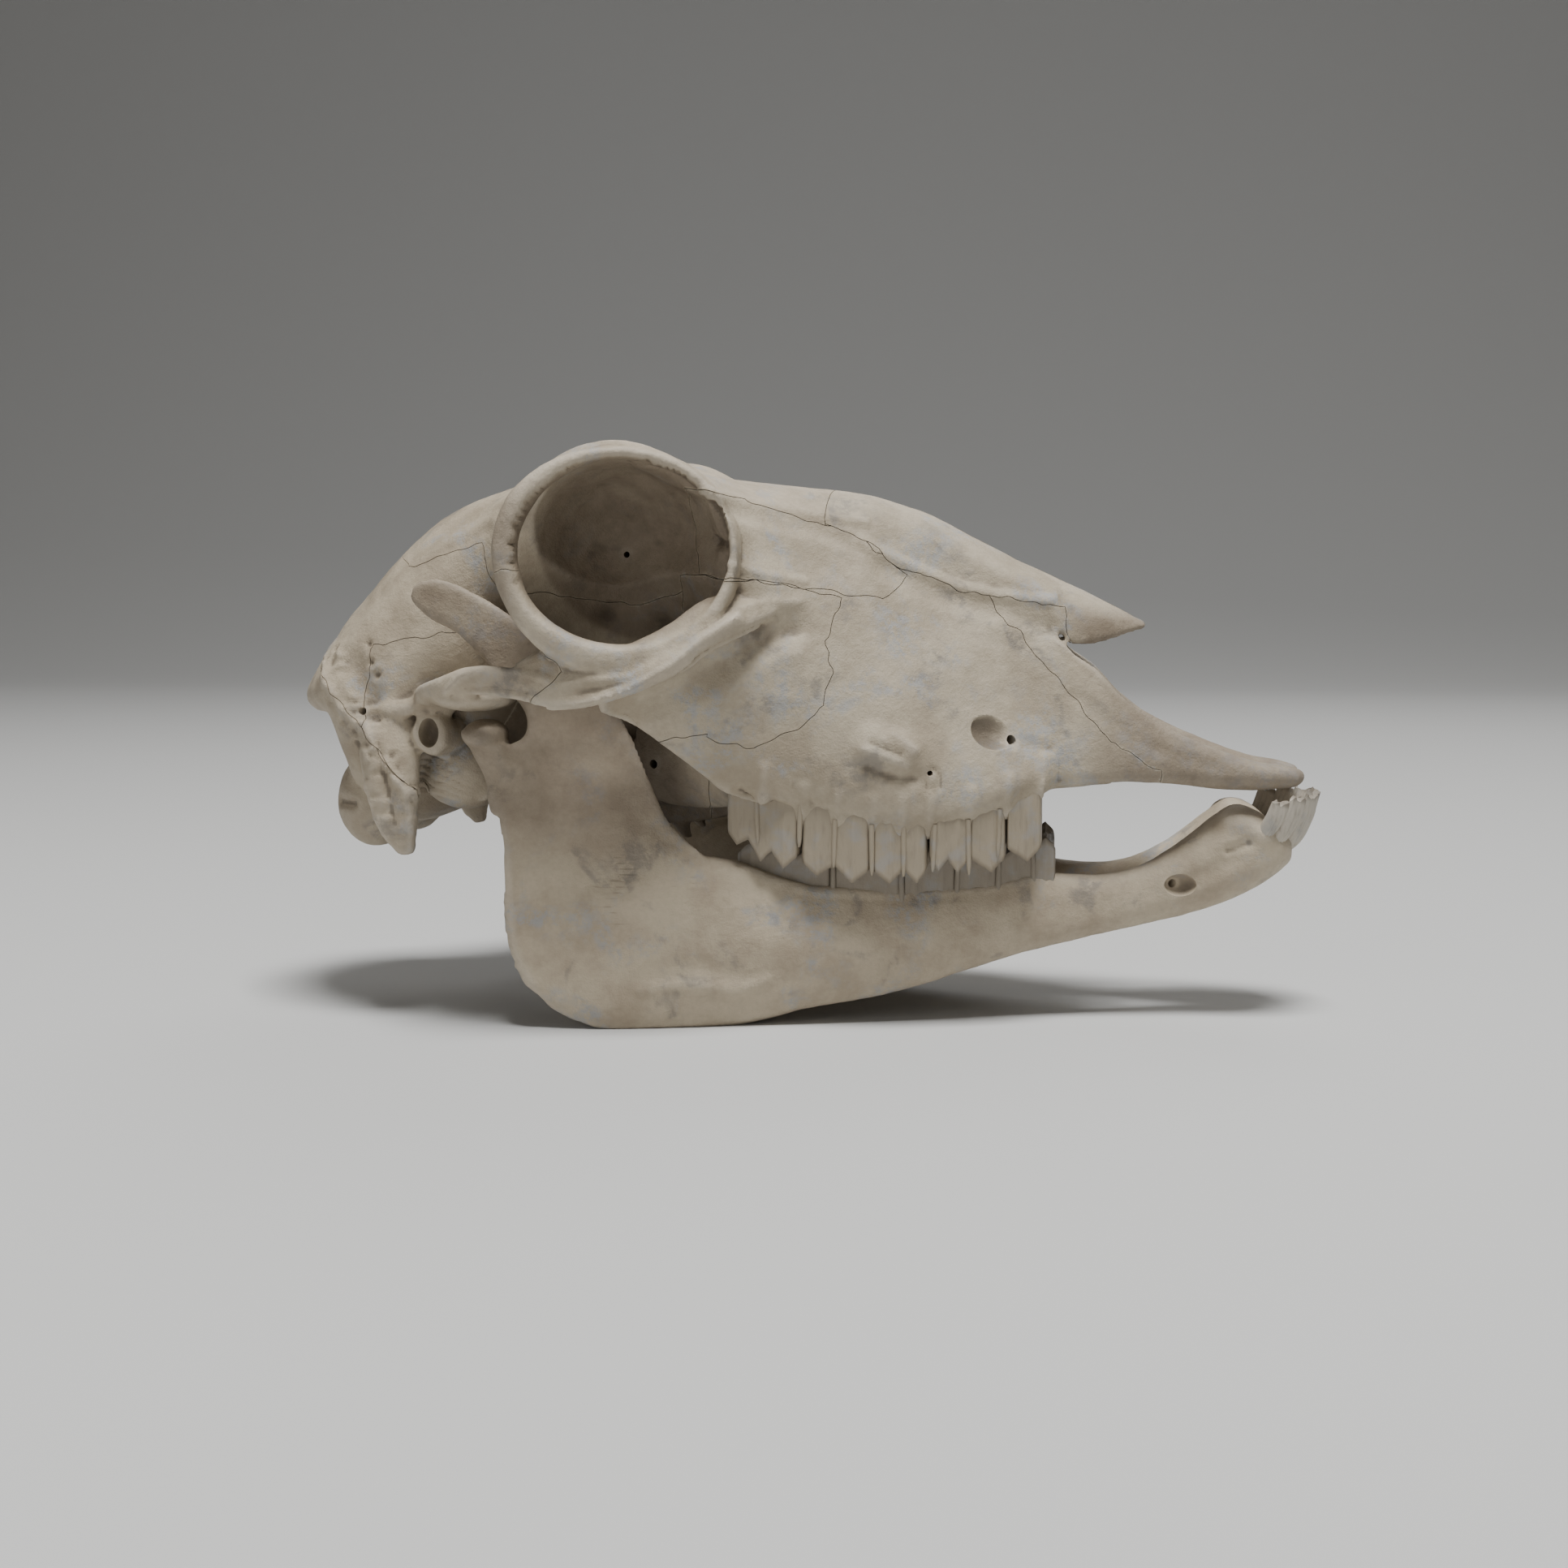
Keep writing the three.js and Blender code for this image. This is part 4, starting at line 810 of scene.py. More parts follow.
hide.lift += socket * (0.9 * noise(hide.place, 9, 12) + 0.4 * noise(hide.place, 3.6, 13))

# roughness: everywhere a little, and much more on the nape, on the spur and on the ear's bulb
for size, height in ((15, 0.3), (5.5, 0.16), (2.4, 0.07), (1.3, 0.035)):
    hide.lift += height * noise(hide.place, size, 11)
spur = hide.near([(-84, 53), (-82.4, 46), (-80.6, 38)], 8, (22, 42), -1)
nape = hide.near([(-100, 80), (-96, 71), (-90, 66), (-86, 60)], 6, (8, 40), -1)
bulb = hide.near([(-76, 54), (-72, 52)], 7, (12, 31), -1)
hide.lift += np.minimum(1, 2 * spur) * 0.3 * noise(hide.place * (0.45, 0.7, 1), 1.25, 3)
hide.lift += np.minimum(1, 2 * nape) * (0.5 - np.abs(noise(hide.place * (1, 1, 1.5), 3.4, 4))) * 0.8
ear = hide.near([(-74.2, 67), (-74.2, 61)], 6, (26, 42), -1)
hide.lift += np.minimum(1, 2 * ear) * 0.45 * noise(hide.place, 2.2, 7)
ripple = hide.place[:, 0] * 0.35 + hide.place[:, 2] * 0.94 + 0.5 * noise(hide.place, 4, 6)
hide.lift += np.minimum(1, 2 * bulb) * 0.16 * np.sin(2 * math.pi * ripple / 1.7)
hide.carve()

# %% [markdown]
# Nerves and blood came through small holes. Each is drilled with a rod, and the larger ones open in a
# scooped hollow.

# %% Drill the small holes
def drill(obj, holes, scoops):
    """Cuts rods (start, end, radius) and eggs (centre, radii) out of both sides of a bone."""
    hollows = [egg("scoop", *scoop) for scoop in scoops]
    bores = [rod("drill", radius, a, b, 20) for a, b, radius in holes]
    for cuts in (hollows, bores):
        tool = gathered("tool", cuts)
        dropped(*cuts)
        for one in both(tool):
            boolean(obj, one, "DIFFERENCE")
            dropped(one)


HOLES = [
    ((53.9, 27, 62.1), (47, 14, 64), 1.1),
    ((-17, 22, 125), (-19, 21, 108), 1.7),
    ((35.9, 38, 55.2), (34.6, 30, 56.6), 0.6),
    ((-92.5, 34, 68.4), (-86, 25, 68), 0.9),
    ((-18.2, 32, 60.8), (-17, 14, 61.4), 0.8),
    ((-28.6, 26, 55.8), (-26, 8, 56.4), 1),
    ((-43.5, 30, 115.7), (-45, 8, 118), 1.1),
    ((-32.9, 30, 102.2), (-33.4, 8, 103), 0.7),
]
SCOOPS = [
    ((50.4, 27.7, 65.6), (7, 4.2, 5.4)),
    ((-74.2, 34.6, 63.9), (2.3, 4.4, 3.3)),
    ((-73.6, 29, 63.5), (1.6, 6, 2.2)),
    ((-57.2, 42, 106.4), (1.4, 4, 2.4)),
]
drill(cranium, HOLES, SCOOPS)
print("cranium drilled", len(cranium.data.polygons), "faces")

# %% [markdown]
# ## The lower jaw's skin
# The angle of the jaw is rough, the broad plate is faintly hollow and scored by muscle, and a low ridge runs
# along its foot.

# %% Carve the jaw
JAW = {
    "back edge": ([(-58.6, 50), (-56.4, 40), (-55.4, 30), (-54.4, 20), (-51, 10)], 3.6, 0.8, False, (30, 50)),
    "muscle hollow": ([(-38, 20), (-36, 36)], 13, -0.9, False, (30, 50)),
    "foot ridge": (
        [(-27, 8.8), (-20, 9.8), (-12.9, 9.4), (-6.7, 8), (-0.5, 10.4)], 2.4, 0.5, False, (24, 50)),
    "foot hollow": ([(-24, 12.8), (-16, 13.6), (-8, 12.6)], 3.6, -0.4, False, (24, 50)),
    "front edge of the plate": (
        [(-30, 63), (-26.8, 56.4), (-24.4, 49.4), (-21, 43.3), (-15, 39.6)], 2.4, 0.6, False, (30, 50)),
    "hollow behind the front edge": ([(-33, 62), (-31, 54), (-28, 46)], 4, -0.5, False, (30, 50)),
    "swelling over the roots": ([(-2, 18), (20, 19), (42, 22)], 9, 0.7, False, (10, 40)),
    "socket edge": (
        [(-5, 35.8), (-1, 32.6), (9, 29.6), (27, 28.8), (45, 29.2), (57, 31.6)], 1.7, 0.5, False, (14, 40)),
    "corner tooth boss": ([(100, 45), (104.6, 44), (107.6, 41.6)], 3.6, 0.9, False, (6, 20)),
    "groove behind the boss": ([(99.6, 38), (104, 39.6)], 2, -0.6, False, (6, 20)),
    "channel from the chin hole": ([(91.4, 31), (96, 33), (101, 36)], 3, -0.4, False, (6, 20)),
    "knob lip": ([(-64.4, 65), (-60, 62.4), (-56, 61.6)], 1.6, 0.5, True, (36, 50)),
}
CHIN_SCOOP = ((89.6, 14, 30), (3.8, 3.2, 2.7))
CHIN_HOLE = ((90.8, 15, 29.8), (85, 8, 30.6), 0.95)
for jaw in (jaw_left, jaw_right):
    hide = Hide(jaw)
    for line, width, height, crisp, reach in JAW.values():
        hide.stroke(line, width, height, crisp, reach, 0.1)
    corner = hide.near([(-57, 26), (-56.6, 18), (-55, 10), (-51, 5.6), (-44, 1.6)], 3.6, (30, 42), -1)
    hide.lift += np.minimum(1, 1.6 * corner) * (0.5 - np.abs(noise(hide.place, 3, 8))) * 0.9
    scored = hide.near([(-31, 37), (-33, 22)], 9, (30, 50))
    scored += 0.7 * hide.near([(-20, 33), (-12, 30)], 6, (26, 50))
    waves = hide.place[:, 2] + 0.9 * noise(hide.place, 5, 9)
    hide.lift += scored * 0.13 * np.sin(2 * math.pi * waves / 1.3)
    for size, height in ((13, 0.3), (5, 0.14), (2.2, 0.06), (1.3, 0.03)):
        hide.lift += height * noise(hide.place, size, 21)
    hide.lift *= np.clip((hide.place[:, 2] - 0.4) / 1.5, 0, 1)  # the foot stays level
    hide.carve()
    drill(jaw, [CHIN_HOLE], [CHIN_SCOOP])

# %% [markdown]
# ## Cheek teeth
# A sheep's cheek tooth is a tall column with a fluted outer wall: a rib at both ends and one at each cusp.
# The wall ends in a zigzag of cusps, and behind it the worn face is a basin. One maker does them all, upper
# and lower, from their length, height and cusps. Thin upright pillars of enamel cover most of the joints.

# %% A cheek tooth
RIB_HEIGHT = 0.3
RIB_WIDTH = 0.7
BITE_REACH = 5  # how far the dark worn edge fades into the tooth


def cheek_tooth(name, front, back, root, tips, row, width, valley, seed):
    """A closed tooth. It bites downwards if its tips lie below its root, and upwards otherwise."""
    down = 1 if tips[0][1] < root else -1
    rows, cap_rows, outer_sides, inner_sides = 26, 5, 80, 26
    facing, behind = np.linspace(1, -1, outer_sides), np.linspace(-1, 1, inner_sides)[1:-1]
    u = np.concatenate([facing, behind])
    w = np.concatenate([(1 - np.abs(facing) ** 18) ** 0.5, -((1 - np.abs(behind) ** 4) ** 0.5)])
    sides = len(u)
    middle, half = (front + back) / 2, (front - back) / 2
    cusps = [(back, tips[0][1] + down * valley)]
    for (x, z), following in zip(tips, tips[1:] + [None]):
        cusps.append((x, z))
        if following:
            cusps.append(((x + following[0]) / 2, (z + following[1]) / 2 + down * valley))
    cusps.append((front, tips[-1][1] + down * valley))
    ribs = [-0.94, 0.94] + [-0.97 + 2 * (back - tip[0]) / (back - front) for tip in tips]
    rings = []
    for step in range(rows + cap_rows):
        t = min(step / rows, 1)
        shrink = 1 - (max(0, step - rows) / cap_rows) ** 1.2
        long = 0.1 + half * (0.99 + 0.02 * math.sin(math.pi * min(1, t * 1.1) * 0.6))
        x = middle + u * long * shrink
        flute = sum(RIB_HEIGHT * np.exp(-(((x - middle - rib * half) / RIB_WIDTH) ** 2)) for rib in ribs)
        show = min(1, 3 * t) * (1 - 0.25 * t)
        outer = (w * shrink + 1) / 2
        edge = np.interp(x, *zip(*cusps)) + down * (1 - outer) * 2.6
        lobes = 0.8 * np.abs(np.cos(math.pi * u)) if len(tips) > 1 else 0.3
        y = (read_off(row, x) - width * (1 - outer) - 0.6 + flute * show * np.maximum(w, 0) ** 2 * shrink
             - lobes * np.maximum(-w, 0) * shrink)
        basin = down * 1.5 * (1 - shrink**2)
        rough = 0.1 * noise(np.stack([x, y, np.full(sides, root + 9.0 * t)], axis=1), 1.6, seed)
        z = root + (edge + basin - root) * t + 0.12 * noise(np.stack([x, y], axis=1), 0.9, seed) * t
        rings.append(np.stack([x, y + rough, z], axis=1))
    made = skin(name, np.array(rings))
    place = numbers(made.data.vertices, "co")
    edge = np.interp(place[:, 0], *zip(*cusps))
    set_mark(made, "bite", np.maximum(1 - np.abs(place[:, 2] - edge) / BITE_REACH, 0))
    return made


# %% Set the cheek teeth
UPPER_TEETH = [  # front, back, root, cusp tips from the back
    (58.9, 51.4, 52.4, [(56, 36.4)]),
    (51.2, 43.6, 50, [(48.2, 34.4)]),
    (43.4, 34.9, 49, [(37, 34.8), (41, 34.2)]),
    (34.6, 22.9, 49, [(26.6, 32.2), (32.4, 32.3)]),
    (22.6, 7.5, 50, [(11, 33.8), (18.6, 32.3)]),
    (7.2, -9, 58, [(-6.6, 40), (-1.4, 36.6), (3.6, 35.2)]),
]
LOWER_TEETH = [
    (62, 57.4, 26, [(60, 40.6)]),
    (57.2, 49.7, 24, [(53.6, 38.4)]),
    (49.4, 40.7, 24, [(43, 38), (47, 38.2)]),
    (40.4, 28.9, 24, [(31.6, 38.4), (37.4, 38.4)]),
    (28.6, 13.9, 24, [(17.4, 38.4), (25, 38.4)]),
    (13.6, -7.4, 26, [(-4.4, 39.8), (2.4, 39.6), (9.6, 39)]),
]
LOWER_ROW_Y = [(-12, 26.8), (0, 27.6), (14, 27.2), (28, 25.4), (42, 21.8), (54, 18.4), (62, 16.2)]
UPPER_WIDTH = 11.5
LOWER_WIDTH = 7.4


def tooth_row(name, teeth, row, width, valley):
    return [
        cheek_tooth(f"{name}_{i}", *tooth, row, width, valley, seed=30 + i)
        for i, tooth in enumerate(teeth)
    ]


# Each pillar: x, the height of its end in the bone, and of its free end.
UPPER_PILLARS = [(-2.2, 50, 40.7), (7.4, 50, 40), (14.9, 46, 35.7), (22.7, 45, 34.1), (29.5, 45, 33.8),
                 (36.1, 45, 34.8), (43.2, 46, 34), (49.9, 48, 37.6)]
LOWER_PILLARS = [(57.3, 29, 37.6), (49.5, 28, 36.6), (40.5, 27, 36.4), (28.7, 27, 36.4), (13.8, 27, 36.8)]


PILLAR_HALF = 0.75


def pillar(row, x, end, free):
    y = read_off(row, x) - PILLAR_HALF
    lean = 0.35 * math.sin(5 * x)  # to this side or that
    stations = [
        [(x + lean * (z - end) / (free - end), y, z), (wide, 0, 0), (0, PILLAR_HALF, 0)]
        for z, wide in ((end, 0.62), ((end + free) / 2, 0.6), (free + 0.15 * (end - free), 0.5), (free, 0.25))
    ]
    made = bar("pillar", stations, 16, 12)
    set_mark(made, "bite", np.zeros(len(made.data.vertices)))
    return made


upper_row = tooth_row("upper", UPPER_TEETH, UPPER_ROW_Y, UPPER_WIDTH, 3)
upper_row += [pillar(UPPER_ROW_Y, *sizes) for sizes in UPPER_PILLARS]
lower_row = tooth_row("lower", LOWER_TEETH, LOWER_ROW_Y, LOWER_WIDTH, 2.2)
lower_row += [pillar(LOWER_ROW_Y, *sizes) for sizes in LOWER_PILLARS]

# %% [markdown]
# ## Front teeth
# Four spade-shaped teeth a side fan out over the chin. Their crowns are finely ridged, and their edges are
# chipped.

# %% Front teeth
INCISORS = [  # root, neck, tip, half the width, and how far the tooth fans out in degrees
    ((103, 3, 33.5), (113.2, 3, 38.2), (119.6, 3.2, 49.8), 2.9, 12),
    ((102, 6, 35), (111.8, 6.8, 38.6), (118, 8, 49.8), 2.9, 32),
    ((100, 8.4, 37), (109.4, 9.8, 39.6), (115, 11.6, 49.6), 2.8, 50),
    ((98.5, 9.6, 38.5), (106.4, 11.6, 40.8), (110.8, 14, 48.8), 2.6, 64),
]


def front_tooth(name, root, neck, tip, half, fan, seed):
    rows, sides = 40, 64
    root, neck, tip = (np.array(place, float) for place in (root, neck, tip))
    along = (tip - neck) / np.linalg.norm(tip - neck)
    wide = np.array([-math.sin(math.radians(fan)), math.cos(math.radians(fan)), 0])
    thin = np.cross(along, wide)
    thin /= np.linalg.norm(thin)
    table = smooth_line([
        [*root, half * 0.5, half * 0.5],
        [*neck, half * 0.66, half * 0.62],
        [*(neck + (tip - neck) * 0.55 + (0.8, 0, -0.3)), half, half * 0.5],
        [*tip, half * 0.9, half * 0.26],
    ], rows)
    turn = np.arange(sides) * 2 * math.pi / sides
    rings = []
    for row, (x, y, z, a, b) in enumerate(table):
        t = row / rows
        ridges = 1 + 0.07 * np.cos(14 * np.cos(turn)) * min(1, 2 * t)
        across = np.stack([np.cos(turn) * a, np.zeros(sides)], axis=1)
        chipped = 0.8 * max(0, t - 0.8) / 0.2 * noise(across, 0.9, seed)
        ring = np.array([x, y, z]) + np.cos(turn)[:, None] * a * wide
        rings.append(ring + (np.sin(turn) * b * ridges)[:, None] * thin + chipped[:, None] * along)
    made = skin(name, np.array(rings))
    height = (numbers(made.data.vertices, "co") - neck) @ along / np.linalg.norm(tip - neck)
    set_mark(made, "bite", np.maximum((height - 0.6) / 0.4, 0))
    return made


incisors = [front_tooth(f"incisor_{i}", *shape, seed=50 + i) for i, shape in enumerate(INCISORS)]
print("teeth and pillars", len(upper_row) + len(lower_row) + len(incisors), "a side")

# %% [markdown]
# ## Hollow and crest
# Hollows are painted darker, partly for dirt and partly as painted shade, and broad crests are painted paler.
# Averaging each place with its neighbours shows which is which: a place that lies below the average is in a
# hollow.

# %% Marks for the paint
FINE_DEPTH = 0.12  # a hollow this deep gets the full mark
BROAD_DEPTH = 0.8


def averaged(values, pairs, times):
    a, b = pairs.T
    count = np.bincount(a, minlength=len(values)) + np.bincount(b, minlength=len(values))
    for _ in range(times):
        total = np.stack([
            np.bincount(a, values[b, k], len(values)) + np.bincount(b, values[a, k], len(values))
            for k in range(values.shape[1])
        ], axis=1)
        values = 0.5 * values + 0.5 * total / np.maximum(count, 1)[:, None]
    return values


def mark_skin(obj, inside=None):
    """Writes how hollow (+) or raised (-) each place is, finely and broadly, and how much painted shade it
    gets.
    """
    place = numbers(obj.data.vertices, "co")
    normal = numbers(obj.data.vertex_normals, "vector")
    pairs = edge_ends(obj.data)
    fine = averaged(place, pairs, 5)
    broad = averaged(fine, pairs, 40)
    set_mark(obj, "fine", ((fine - place) * normal).sum(axis=1) / FINE_DEPTH)
    set_mark(obj, "broad", ((broad - place) * normal).sum(axis=1) / BROAD_DEPTH)
    # the mark named inside holds painted shade
    set_mark(obj, "inside", np.zeros(len(place)) if inside is None else inside(place))


def painted_shade_cranium(place):
    """Painted shade: 1 in the eye sockets, the nose and under the brain case, less on the low front of the
    face and the back of the eye rings, 0 elsewhere outside.
    """
    x, side, z = place[:, 0], np.abs(place[:, 1]), place[:, 2]
    eye = np.hypot((x - ORBIT["x"]) / (ORBIT["half_x"] + 1), (z - ORBIT["z"]) / (ORBIT["half_z"] + 1))
    ring = ORBIT["y"] - ORBIT["turn"] * (x - ORBIT["x"]) / ORBIT["half_x"]
    eye = np.clip((1 - eye) * 18, 0, 1) * np.clip((ring + 5 - side) / 4, 0, 1)
    nose = np.clip((13.5 - side) / 2, 0, 1) * np.clip((x - 15) / 4, 0, 1) * np.clip((92 - z) / 4, 0, 1)
    nose *= np.clip((112 - x) / 30, 0, 1)
    under = np.clip((26 - side) / 6, 0, 1) * np.clip((76 - z) / 8, 0, 1) * np.clip((-2 - x) / 6, 0, 1)
    under *= np.clip((x + 84) / 10, 0, 1)
    # painted shade on the low front of the face, and below it on the back of the eye rings
    painted_shade_faces = 0.9 * np.clip((x - 66) / 12, 0, 1) * np.clip((84 - z) / 5, 0, 1)
    behind = np.clip((-47 - x) / 4, 0, 1) * np.clip((z - 82) / 5, 0, 1)
    painted_shade_faces += 0.8 * np.clip((side - 36) / 4, 0, 1) * behind
    return np.max([eye, nose, under, painted_shade_faces], axis=0)


def painted_shade_jaw(place):
    """Painted shadow of the cheek arch: the upright plate behind the teeth is painted a little browner and
    darker.
    """
    return 0.9 * np.clip((place[:, 2] - 32) / 16, 0, 1) * np.clip((-12 - place[:, 0]) / 10, 0, 1)


mark_skin(cranium, painted_shade_cranium)
for jaw in (jaw_left, jaw_right):
    mark_skin(jaw, painted_shade_jaw)

# %% [markdown]
# ## Parting along the sutures
# The cranium is a set of bones whose edges interlock. Each bone's outline is drawn from the side, made
# jagged with even randomness, and pushed through the skull like a pastry cutter. What is inside becomes the
# bone, and a slightly larger cutter takes the same outline out of the rest. That leaves a hair's breadth.

# %% Suture outlines
FAR = 135
SUTURE = 0.07  # half of the gap between two bones

# A zone is a list of parts. Each part starts at a distance from the mid-plane, or goes right through for
# None, and reaches out from there inside an outline of (x, z) places.
NASAL = [(0, [(12, FAR), (12, 109.5), (16, 107.7), (25.8, 101.4), (31.2, 98.8), (40.1, 95.2), (49, 93),
              (59.5, 92.3), (63.5, 91.2), (65, 81), (90, 78), (90, FAR)])]
PREMAXILLARY = [(0, [(45, 96), (50.8, 88.2), (56, 83), (61.5, 76.8), (68.6, 68), (76, 60.5), (84.5, 55.7),
                     (84.5, 40), (FAR, 40), (FAR, 76), (66, 96)])]
LACRIMAL = [(16, [(-17, 117), (-7, 114.6), (3.3, 111.5), (8.7, 109.6), (16, 107.9), (25.8, 101.4),
                  (29.2, 98.2), (26.8, 95.3), (24.2, 93.1), (16, 93.7), (10.4, 95), (3.5, 95.9),
                  (-4.2, 97.2), (-15, 98)])]
ZYGOMATIC = [
    (20, [(-20, 98), (-15, 98), (-4.2, 97.2), (3.5, 95.9), (10.4, 95), (15.7, 93.3), (12.6, 84.2),
          (13.8, 77.4), (12.6, 70.5), (5.7, 64.4), (-2.2, 61.7), (-12, 64), (-13, 80), (-20, 80)]),
    (33, [(-8, 96.6), (-14, 98), (-30, 94), (-45, 99), (-66, 99), (-62, 88), (-44, 82.5), (-39.5, 78),
          (-47.6, 70.9), (-50, 64), (-24, 63), (-12, 64.6), (-6, 66)]),
]
FRONTAL = [(0, [(-88, FAR), (-86, 104), (-81.6, 99.2), (-77.9, 100.6), (-70.5, 103.2), (-63, 105), (-60, 96),
                (-45, 93), (-30, 92), (-14, 96), (-14, 112), (12, 108), (12, FAR)])]
MAXILLARY = [(0, [(-14, 20), (FAR, 20), (FAR, FAR), (-14, FAR)]),
             (30, [(-30, 44), (-10, 44), (-10, 66), (-30, 66)])]
TEMPORAL = [
    (19, [(-90, 72), (-87.3, 82.5), (-79.8, 84.5), (-69.2, 86.1), (-56, 87.5), (-53, 76), (-52, 64),
          (-56, 42), (-76.5, 42), (-77.5, 51), (-82, 56), (-86, 60.5), (-89, 65.1)]),
    (34, [(-76, 66), (-76, 90), (-34, 90), (-34, 66)]),
]
OCCIPITAL = [(None, [(-FAR, 20), (-58, 20), (-58, 50), (-77.5, 51.5), (-82, 56), (-89, 65.1), (-95, 69.4),
                     (-100, 75), (-106, 80), (-FAR, 82)])]
PARIETAL = [(None, [(-FAR, 64), (-88, 64), (-84, 78), (-56, 80), (-56, FAR), (-FAR, FAR)])]


JAGGED_STEP = 0.9


def aside(line):
    """The direction square to a closed line at each of its places."""
    ahead = np.roll(line, -1, axis=0) - np.roll(line, 1, axis=0)
    return np.stack([ahead[:, 1], -ahead[:, 0]], axis=1) / np.linalg.norm(ahead, axis=1)[:, None]


def jagged(outline, seed):
    """The outline in short steps that wander to both sides, as interlocking bone does."""
    corners = np.array(outline, float)
    line = []
    for a, b in zip(corners, np.roll(corners, -1, axis=0)):
        count = max(1, round(np.linalg.norm(b - a) / JAGGED_STEP))
        line.extend(a + (b - a) * i / count for i in range(count))
    line = np.array(line)
    wander = 0.7 * noise(line, 4.5, seed) + 0.5 * noise(line, 1.9, seed + 1)
    return line + aside(line) * wander[:, None]


def grown(line, by):
    """A closed line moved out, or in where by is negative."""
    x, z = line.T
    area = (x * np.roll(z, -1) - np.roll(x, -1) * z).sum()
    return line + aside(line) * by * np.sign(area)


def cutter(start, outline, by, seed, middle):
    """A jagged outline grown by so much and pushed out sideways. A part that starts at 0 begins at middle."""
    near = -FAR if start is None else middle if start == 0 else start - by
    line = grown(jagged(outline, seed), by)
    bm = bmesh.new()
    bmesh.ops.create_circle(bm, cap_ends=True, segments=len(line), radius=1)
    for vert, (x, z) in zip(bm.verts, line):
        vert.co = (x, near, z)
    pushed = bmesh.ops.extrude_face_region(bm, geom=bm.faces[:])
    moved = [v for v in pushed["geom"] if isinstance(v, bmesh.types.BMVert)]
    bmesh.ops.translate(bm, vec=(0, FAR - near, 0), verts=moved)
    bmesh.ops.recalc_face_normals(bm, faces=bm.faces)
    return new_object("cutter", bm)


# %% Cut the bones
def twin(obj, name):
    copy = bpy.data.objects.new(name, obj.data.copy())
    bpy.context.collection.objects.link(copy)
    return copy


def cut_with(obj, zone, by, seed, operation, middle=0, far_side=False):
    """Keeps what lies inside the zone, or takes it away."""
    tools = [cutter(*part, by, seed + 7 * i, middle) for i, part in enumerate(zone)]
    if operation == "INTERSECT":
        for extra in tools[1:]:
            boolean(tools[0], extra, "UNION")
            dropped(extra)
        tools = tools[:1]
    if far_side:
        left_tools, tools = tools, [mirrored(tool) for tool in tools]
        dropped(*left_tools)
    for tool in tools:
        boolean(obj, tool, operation)
        dropped(tool)


def main_part(obj):
    """Keeps the largest island of a bone and drops the crumbs that the cutters leave."""
    count = len(obj.data.vertices)
    a, b = edge_ends(obj.data).T
    label = np.arange(count)
    while True:
        low = np.minimum(label[a], label[b])
        fresh = label.copy()
        np.minimum.at(fresh, a, low)
        np.minimum.at(fresh, b, low)
        fresh = fresh[fresh]
        if np.array_equal(fresh, label):
            break
        label = fresh
    kept = np.bincount(label, minlength=count).argmax()
    if np.all(label == kept):
        return obj
    bm = bmesh.new()
    bm.from_mesh(obj.data)
    crumbs = [vert for vert, mark in zip(bm.verts, label) if mark != kept]
    bmesh.ops.delete(bm, geom=crumbs, context="VERTS")
    bm.to_mesh(obj.data)
    bm.free()
    return obj


bones = {}
PAIRED = {"nasal": NASAL, "premaxilla": PREMAXILLARY, "lacrimal": LACRIMAL, "zygomatic": ZYGOMATIC,
          "frontal": FRONTAL, "maxilla": MAXILLARY, "temporal": TEMPORAL}
SINGLE = {"occipital": OCCIPITAL, "parietal": PARIETAL}
OVER_THE_MIDDLE = -1  # what a bone leaves is cut a little past the mid-plane
for i, (name, zone) in enumerate(PAIRED.items()):
    for side, far_side in (("left", False), ("right", True)):
        bone = twin(cranium, f"{name}_{side}_bone")
        cut_with(bone, zone, -SUTURE, 100 + 20 * i, "INTERSECT", SUTURE, far_side)
        bones[f"{name}_{side}"] = main_part(bone)
        cut_with(cranium, zone, SUTURE, 100 + 20 * i, "DIFFERENCE", OVER_THE_MIDDLE, far_side)
    print(name, "cut", len(bone.data.polygons), "faces")
for i, (name, zone) in enumerate(SINGLE.items()):
    bone = twin(cranium, f"{name}_bone")
    cut_with(bone, zone, -SUTURE, 300 + 20 * i, "INTERSECT")
    bones[name] = main_part(bone)
    cut_with(cranium, zone, SUTURE, 300 + 20 * i, "DIFFERENCE")
    print(name, "cut", len(bone.data.polygons), "faces")
cranium.name = "sphenoid_bone"
bones["sphenoid"] = main_part(cranium)
bones["mandible_left"] = jaw_left
bones["mandible_right"] = jaw_right
